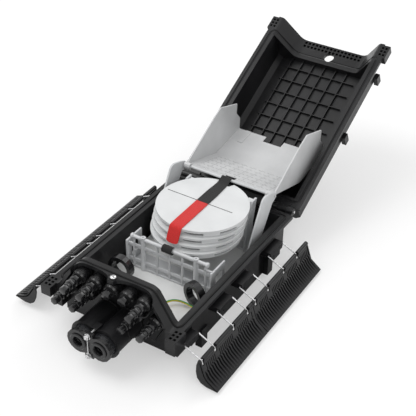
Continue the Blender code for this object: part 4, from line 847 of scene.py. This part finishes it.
def makeStraps(form):
    trayLow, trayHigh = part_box("splice_tray_1")
    frameLow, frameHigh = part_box("support_frame")
    _, barY, barZ = middleOf(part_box("basket_pivot_bar"))
    half, wide = form["half"], form["wide"]
    flat = trayHigh[2] + form["overTray"]
    rear = arcPath(barY, barZ, form["barWrap"], form["barFrom"], form["barTurn"], form["barSteps"])
    rear += [(barY + along, flat + rise) for along, rise in form["rearRun"]] + [(form["rearEnd"], flat)]
    rearHalves = [half] * (len(rear) - form["rearWideRows"]) + [wide] * form["rearWideRows"]
    makeStrap("strap_rear", rear, rearHalves, blackWebbing, form)
    front = [(form["frontStart"], flat), (form["frontFlat"], flat)]
    front += [(trayLow[1] + along, flat + rise) for along, rise in form["frontRun"]]
    tips = [wide * share for share in form["tipShares"]]
    makeStrap("strap_front", front, [wide] * (len(front) - len(tips)) + tips, redWebbing, form)
    tubeY, tubeZ = frameLow[1] + latticeForm["fromFront"], frameHigh[2] - latticeForm["tubeDrop"]
    loop = arcPath(tubeY, tubeZ, form["loopWrap"], form["loopFrom"], form["loopTurn"], form["loopSteps"])
    makeStrap("strap_loop", loop, [half] * len(loop), blackWebbing, form)


makeStraps(strapForm)
print("straps made")


# Earth wire in two colours, as two stripes along its length

wireForm = {"backLean": 0.66, "upLean": 0.75, "smooth": 80.0}


def makeEarthWire(form):
    bm = cleanCopy("earth_wire")
    bmesh.ops.recalc_face_normals(bm, faces=bm.faces)
    for face in bm.faces:
        upward = form["upLean"] * face.normal.z + form["backLean"] * face.normal.y
        face.material_index = 0 if upward > 0.0 else 1
    piece = placePiece("earthLead", bm, wireGreen, bodyOf("earth_wire"), ["earth_wire"],
                       form["smooth"])
    piece.data.materials.append(wireYellow)


makeEarthWire(wireForm)


# Test valve, and the small rubber plugs either side of it, nearly flush under the closed lid

valveForm = {
    "seatDrop": 0.0042, "around": 32, "plugApart": 0.0165, "plugBack": 0.001, "plugAround": 16,
    "core": ((0.0, 0.0030), (0.0012, 0.0030), (0.0013, 0.0018), (0.0022, 0.0017), (0.0026, 0.0028),
             (0.0038, 0.0024), (0.0046, 0.0014), (0.0046, 0.0004), (0.0, 0.0004)),
    "washer": ((0.0044, 0.0003), (0.0060, 0.0003), (0.0059, 0.0009), (0.0044, 0.0010)),
    "sidePlug": ((0.0, 0.0002), (0.00114, 0.0002), (0.0019, 0.0001), (0.0019, -0.0003), (0.0, -0.0003)),
}


def makeValve(form):
    low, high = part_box("test_valve")
    x, y, _ = middleOf((low, high))
    seatZ = high[2] - form["seatDrop"]
    seat = Matrix.Translation((x, y, seatZ))
    bm = bmesh.new()
    addShape(bm, spun(form["core"], form["around"]), seat)
    placePiece("valveCore", bm, steelBolt, bodyOf("test_valve"), ["test_valve"])
    bm = bmesh.new()
    addShape(bm, spun(form["washer"], form["around"], closed=True), seat)
    for side in (-1, 1):
        plugPlace = (x + side * form["plugApart"] / 2, y + form["plugBack"], seatZ)
        addShape(bm, spun(form["sidePlug"], form["plugAround"]), Matrix.Translation(plugPlace))
    placePiece("valveSeal", bm, sealRubber, bodyOf("test_valve"))


makeValve(valveForm)


# Basket floor: rows of short raised dashes both ways, standing for the floor's slots, in a darker grey that
# paints the shade inside them

dashForm = {"tilt": -16.0, "columns": 9, "rows": 6, "pitchX": 0.0172, "pitchY": 0.0148, "first": 0.016,
            "dash": (0.0006, 0.0046, 0.00035), "sunk": 0.0001, "perCell": 2}


def makeDashes(form):
    seat = Matrix.Translation(middleOf(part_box("basket_pivot_bar")))
    seat = seat @ Matrix.Rotation(math.radians(form["tilt"]), 4, "X")
    width, length, rise = form["dash"]
    z = rise / 2 - form["sunk"]
    stepX, stepY = form["pitchX"] / form["perCell"], form["pitchY"] / form["perCell"]
    leftX = -form["pitchX"] * (form["columns"] - 1) / 2
    bm = bmesh.new()
    for column in range(form["columns"]):
        for step in range(form["rows"] * form["perCell"] - 1):
            spot = (leftX + column * form["pitchX"], form["first"] + step * stepY, z)
            addShape(bm, block((width, length, rise), spot), seat)
    for row in range(form["rows"]):
        for step in range((form["columns"] - 1) * form["perCell"]):
            spot = (leftX + (step + 0.5) * stepX, form["first"] + row * form["pitchY"], z)
            addShape(bm, block((length, width, rise), spot), seat)
    placePiece("basketDashes", bm, dashPaintedShade, bodyOf("basket"))


makeDashes(dashForm)
print("small pieces made")


# Ribs round the gel seal, and the rolled lip at the barrel's mouth

portForm = {
    "lobeX": 0.018, "ribs": 17, "ribFan": 118, "ribAt": 0.0185, "rib": (0.0010, 0.0074, 0.0016),
    "ribEdge": 0.0003, "lipFan": 140, "lipSteps": 40, "lipBack": 0.0002,
    "lip": ((0.0216, 0.0), (0.0235, 0.0), (0.0235, 0.0024), (0.0222, 0.0030), (0.0216, 0.0030)),
}


def lipArc(form):
    shape = bmesh.new()
    points = [shape.verts.new((radius, 0.0, height)) for radius, height in form["lip"]]
    edges = [shape.edges.new(pair) for pair in zip(points, points[1:] + points[:1])]
    endFace = shape.faces.new(points)
    bmesh.ops.rotate(shape, verts=shape.verts, cent=(0, 0, 0),
                     matrix=Matrix.Rotation(math.radians(-form["lipFan"]), 3, "Z"))
    bmesh.ops.spin(shape, geom=points + edges + [endFace], cent=(0, 0, 0), axis=(0, 0, 1),
                   angle=math.radians(form["lipFan"] * 2), steps=form["lipSteps"], use_merge=False)
    return shape


def makePortTrim(form):
    sealLow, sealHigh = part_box("gel_seal")
    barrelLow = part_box("cable_port_barrel")[0]
    z = (sealLow[2] + sealHigh[2]) / 2
    ribY = (sealLow[1] + barrelLow[1]) / 2
    bm = bmesh.new()
    for side in (-1, 1):
        for index in range(form["ribs"]):
            turn = math.radians(-form["ribFan"] + 2 * form["ribFan"] * index / (form["ribs"] - 1))
            place = Matrix.Translation((side * form["lobeX"], ribY, z))
            place = place @ Matrix.Rotation(-side * turn, 4, "Y")
            addShape(bm, block(form["rib"], (side * form["ribAt"], 0, 0), form["ribEdge"]), place)
    placePiece("gelRibs", bm, cableGel, bodyOf("gel_seal"))
    bm = bmesh.new()
    for side in (-1, 1):
        place = Matrix.Translation((side * form["lobeX"], barrelLow[1] + form["lipBack"], z))
        flip = Matrix.Rotation(math.pi, 4, "Z") if side < 0 else Matrix.Identity(4)
        addShape(bm, lipArc(form), place @ towardsBack @ flip)
    placePiece("barrelLip", bm, blackHousing, bodyOf("cable_port_barrel"))


makePortTrim(portForm)


# Clamp bolts: washer, six-sided head and a rounded thread end

boltForm = {"washer": 0.0050, "washerThick": 0.0009, "head": 0.0043, "headHigh": 0.0036, "headEdge": 0.0004,
            "thread": 0.0023, "tipIn": 0.0007, "tipLong": 0.0008, "gap": 0.0002, "around": 32,
            "threadAround": 20}


def makeBolt(nodeName, form):
    low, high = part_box(nodeName)
    x, _, z = middleOf((low, high))
    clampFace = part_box("clamp_plate")[0][1]
    seat = Matrix.Translation((x, clampFace, z)) @ towardsFront
    gap, thick, r = form["gap"], form["washerThick"], form["thread"]
    tip = clampFace - low[1] - gap
    shank = high[1] - clampFace - gap
    bm = bmesh.new()
    ring = [(r, gap), (form["washer"], gap), (form["washer"], thick), (r, thick)]
    addShape(bm, spun(ring, form["around"], closed=True), seat)
    addShape(bm, prism(6, form["head"], thick, thick + form["headHigh"], form["headEdge"]), seat)
    rod = [(0.0, -shank), (r, -shank), (r, tip - form["tipLong"]), (r - form["tipIn"], tip), (0.0, tip)]
    addShape(bm, spun(rod, form["threadAround"]), seat)
    placePiece(nodeName + "_bolt", bm, steelBolt, bodyOf(nodeName), [nodeName])


makeBolt("clamp_bolt_upper", boltForm)
makeBolt("clamp_bolt_lower", boltForm)


# Rounded collars about the clamp's cable bores, and the thin link between its bolts

clampForm = {
    "collar": ((0.0082, 0.0), (0.0082, 0.0014), (0.0094, 0.0024), (0.0124, 0.0024), (0.0136, 0.0014),
               (0.0136, 0.0)),
    "collarAround": 48, "collarSunk": 0.0001, "link": 0.0007, "linkEnd": 0.0011,
    "linkSteps": (0.0012, 0.0018), "linkAround": 16, "linkOut": 0.0016, "pastHead": 0.0040,
}


def makeClampTrim(form):
    low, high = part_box("clamp_plate")
    clampFace, z = low[1], (low[2] + high[2]) / 2
    bm = bmesh.new()
    for side in (-1, 1):
        place = Matrix.Translation((side * portForm["lobeX"], clampFace - form["collarSunk"], z))
        addShape(bm, spun(form["collar"], form["collarAround"], closed=True), place @ towardsFront)
    placePiece("clampCollars", bm, blackFitting, bodyOf("clamp_plate"))
    top = middleOf(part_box("clamp_bolt_upper"))[2] - form["pastHead"]
    foot = middleOf(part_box("clamp_bolt_lower"))[2] + form["pastHead"]
    r, end = form["link"], form["linkEnd"]
    near, far = form["linkSteps"]
    rod = [(0.0, foot), (end, foot), (end, foot + near), (r, foot + far), (r, top - far),
           (end, top - near), (end, top), (0.0, top)]
    bm = bmesh.new()
    addShape(bm, spun(rod, form["linkAround"]), Matrix.Translation((0.0, clampFace - form["linkOut"], 0.0)))
    placePiece("clampLink", bm, steelBolt, bodyOf("clamp_bolt_upper"))


makeClampTrim(clampForm)
print("port trim made")


# Nodes that keep their own form: finish, slot and how far their edges are rounded

dressed = {
    "base_shell": (blackHousing, "black_plastic", 0.0006),
    "lid_shell": (blackHousing, "black_plastic", 0.0005),
    "rim_gasket": (sealRubber, "black_rubber", 0.0),
    "organiser_plate": (palePlate, "white_plastic", 0.0006),
    "tray_spine": (greyMoulding, "grey_plastic", 0.0004),
    "basket_arm_left": (greyMoulding, "grey_plastic", 0.0005),
    "basket_arm_right": (greyMoulding, "grey_plastic", 0.0005),
    "basket_pivot_bar": (greyMoulding, "grey_plastic", 0.0004),
    "basket": (milkyBasket, "grey_plastic", 0.0004),
    "cable_ring_left": (blackFitting, "black_plastic", 0.0008),
    "cable_ring_right": (blackFitting, "black_plastic", 0.0008),
    "cable_port_barrel": (blackHousing, "black_plastic", 0.0006),
    "gel_seal": (cableGel, "seal_gel", 0.0006),
    "clamp_plate": (blackFitting, "black_plastic", 0.0006),
    "hinge_pin_left": (steelWire, "steel", 0.0003),
    "hinge_pin_right": (steelWire, "steel", 0.0003),
    "earth_stud": (steelBolt, "steel", 0.0003),
}
for nodeName in nodes:
    if nodeName.startswith("tether_"):
        dressed[nodeName] = (sealRubber, "black_rubber", 0.0)
    if nodeName.startswith("bail_"):
        dressed[nodeName] = (steelWire, "steel", 0.0)

for nodeName, (material, slotName, rounding) in dressed.items():
    piece = placePiece(nodeName + "_dressed", cleanCopy(nodeName), material, bodyOf(nodeName),
                       [nodeName])
    if rounding:
        softenEdges(piece, rounding)
print("node copies dressed")
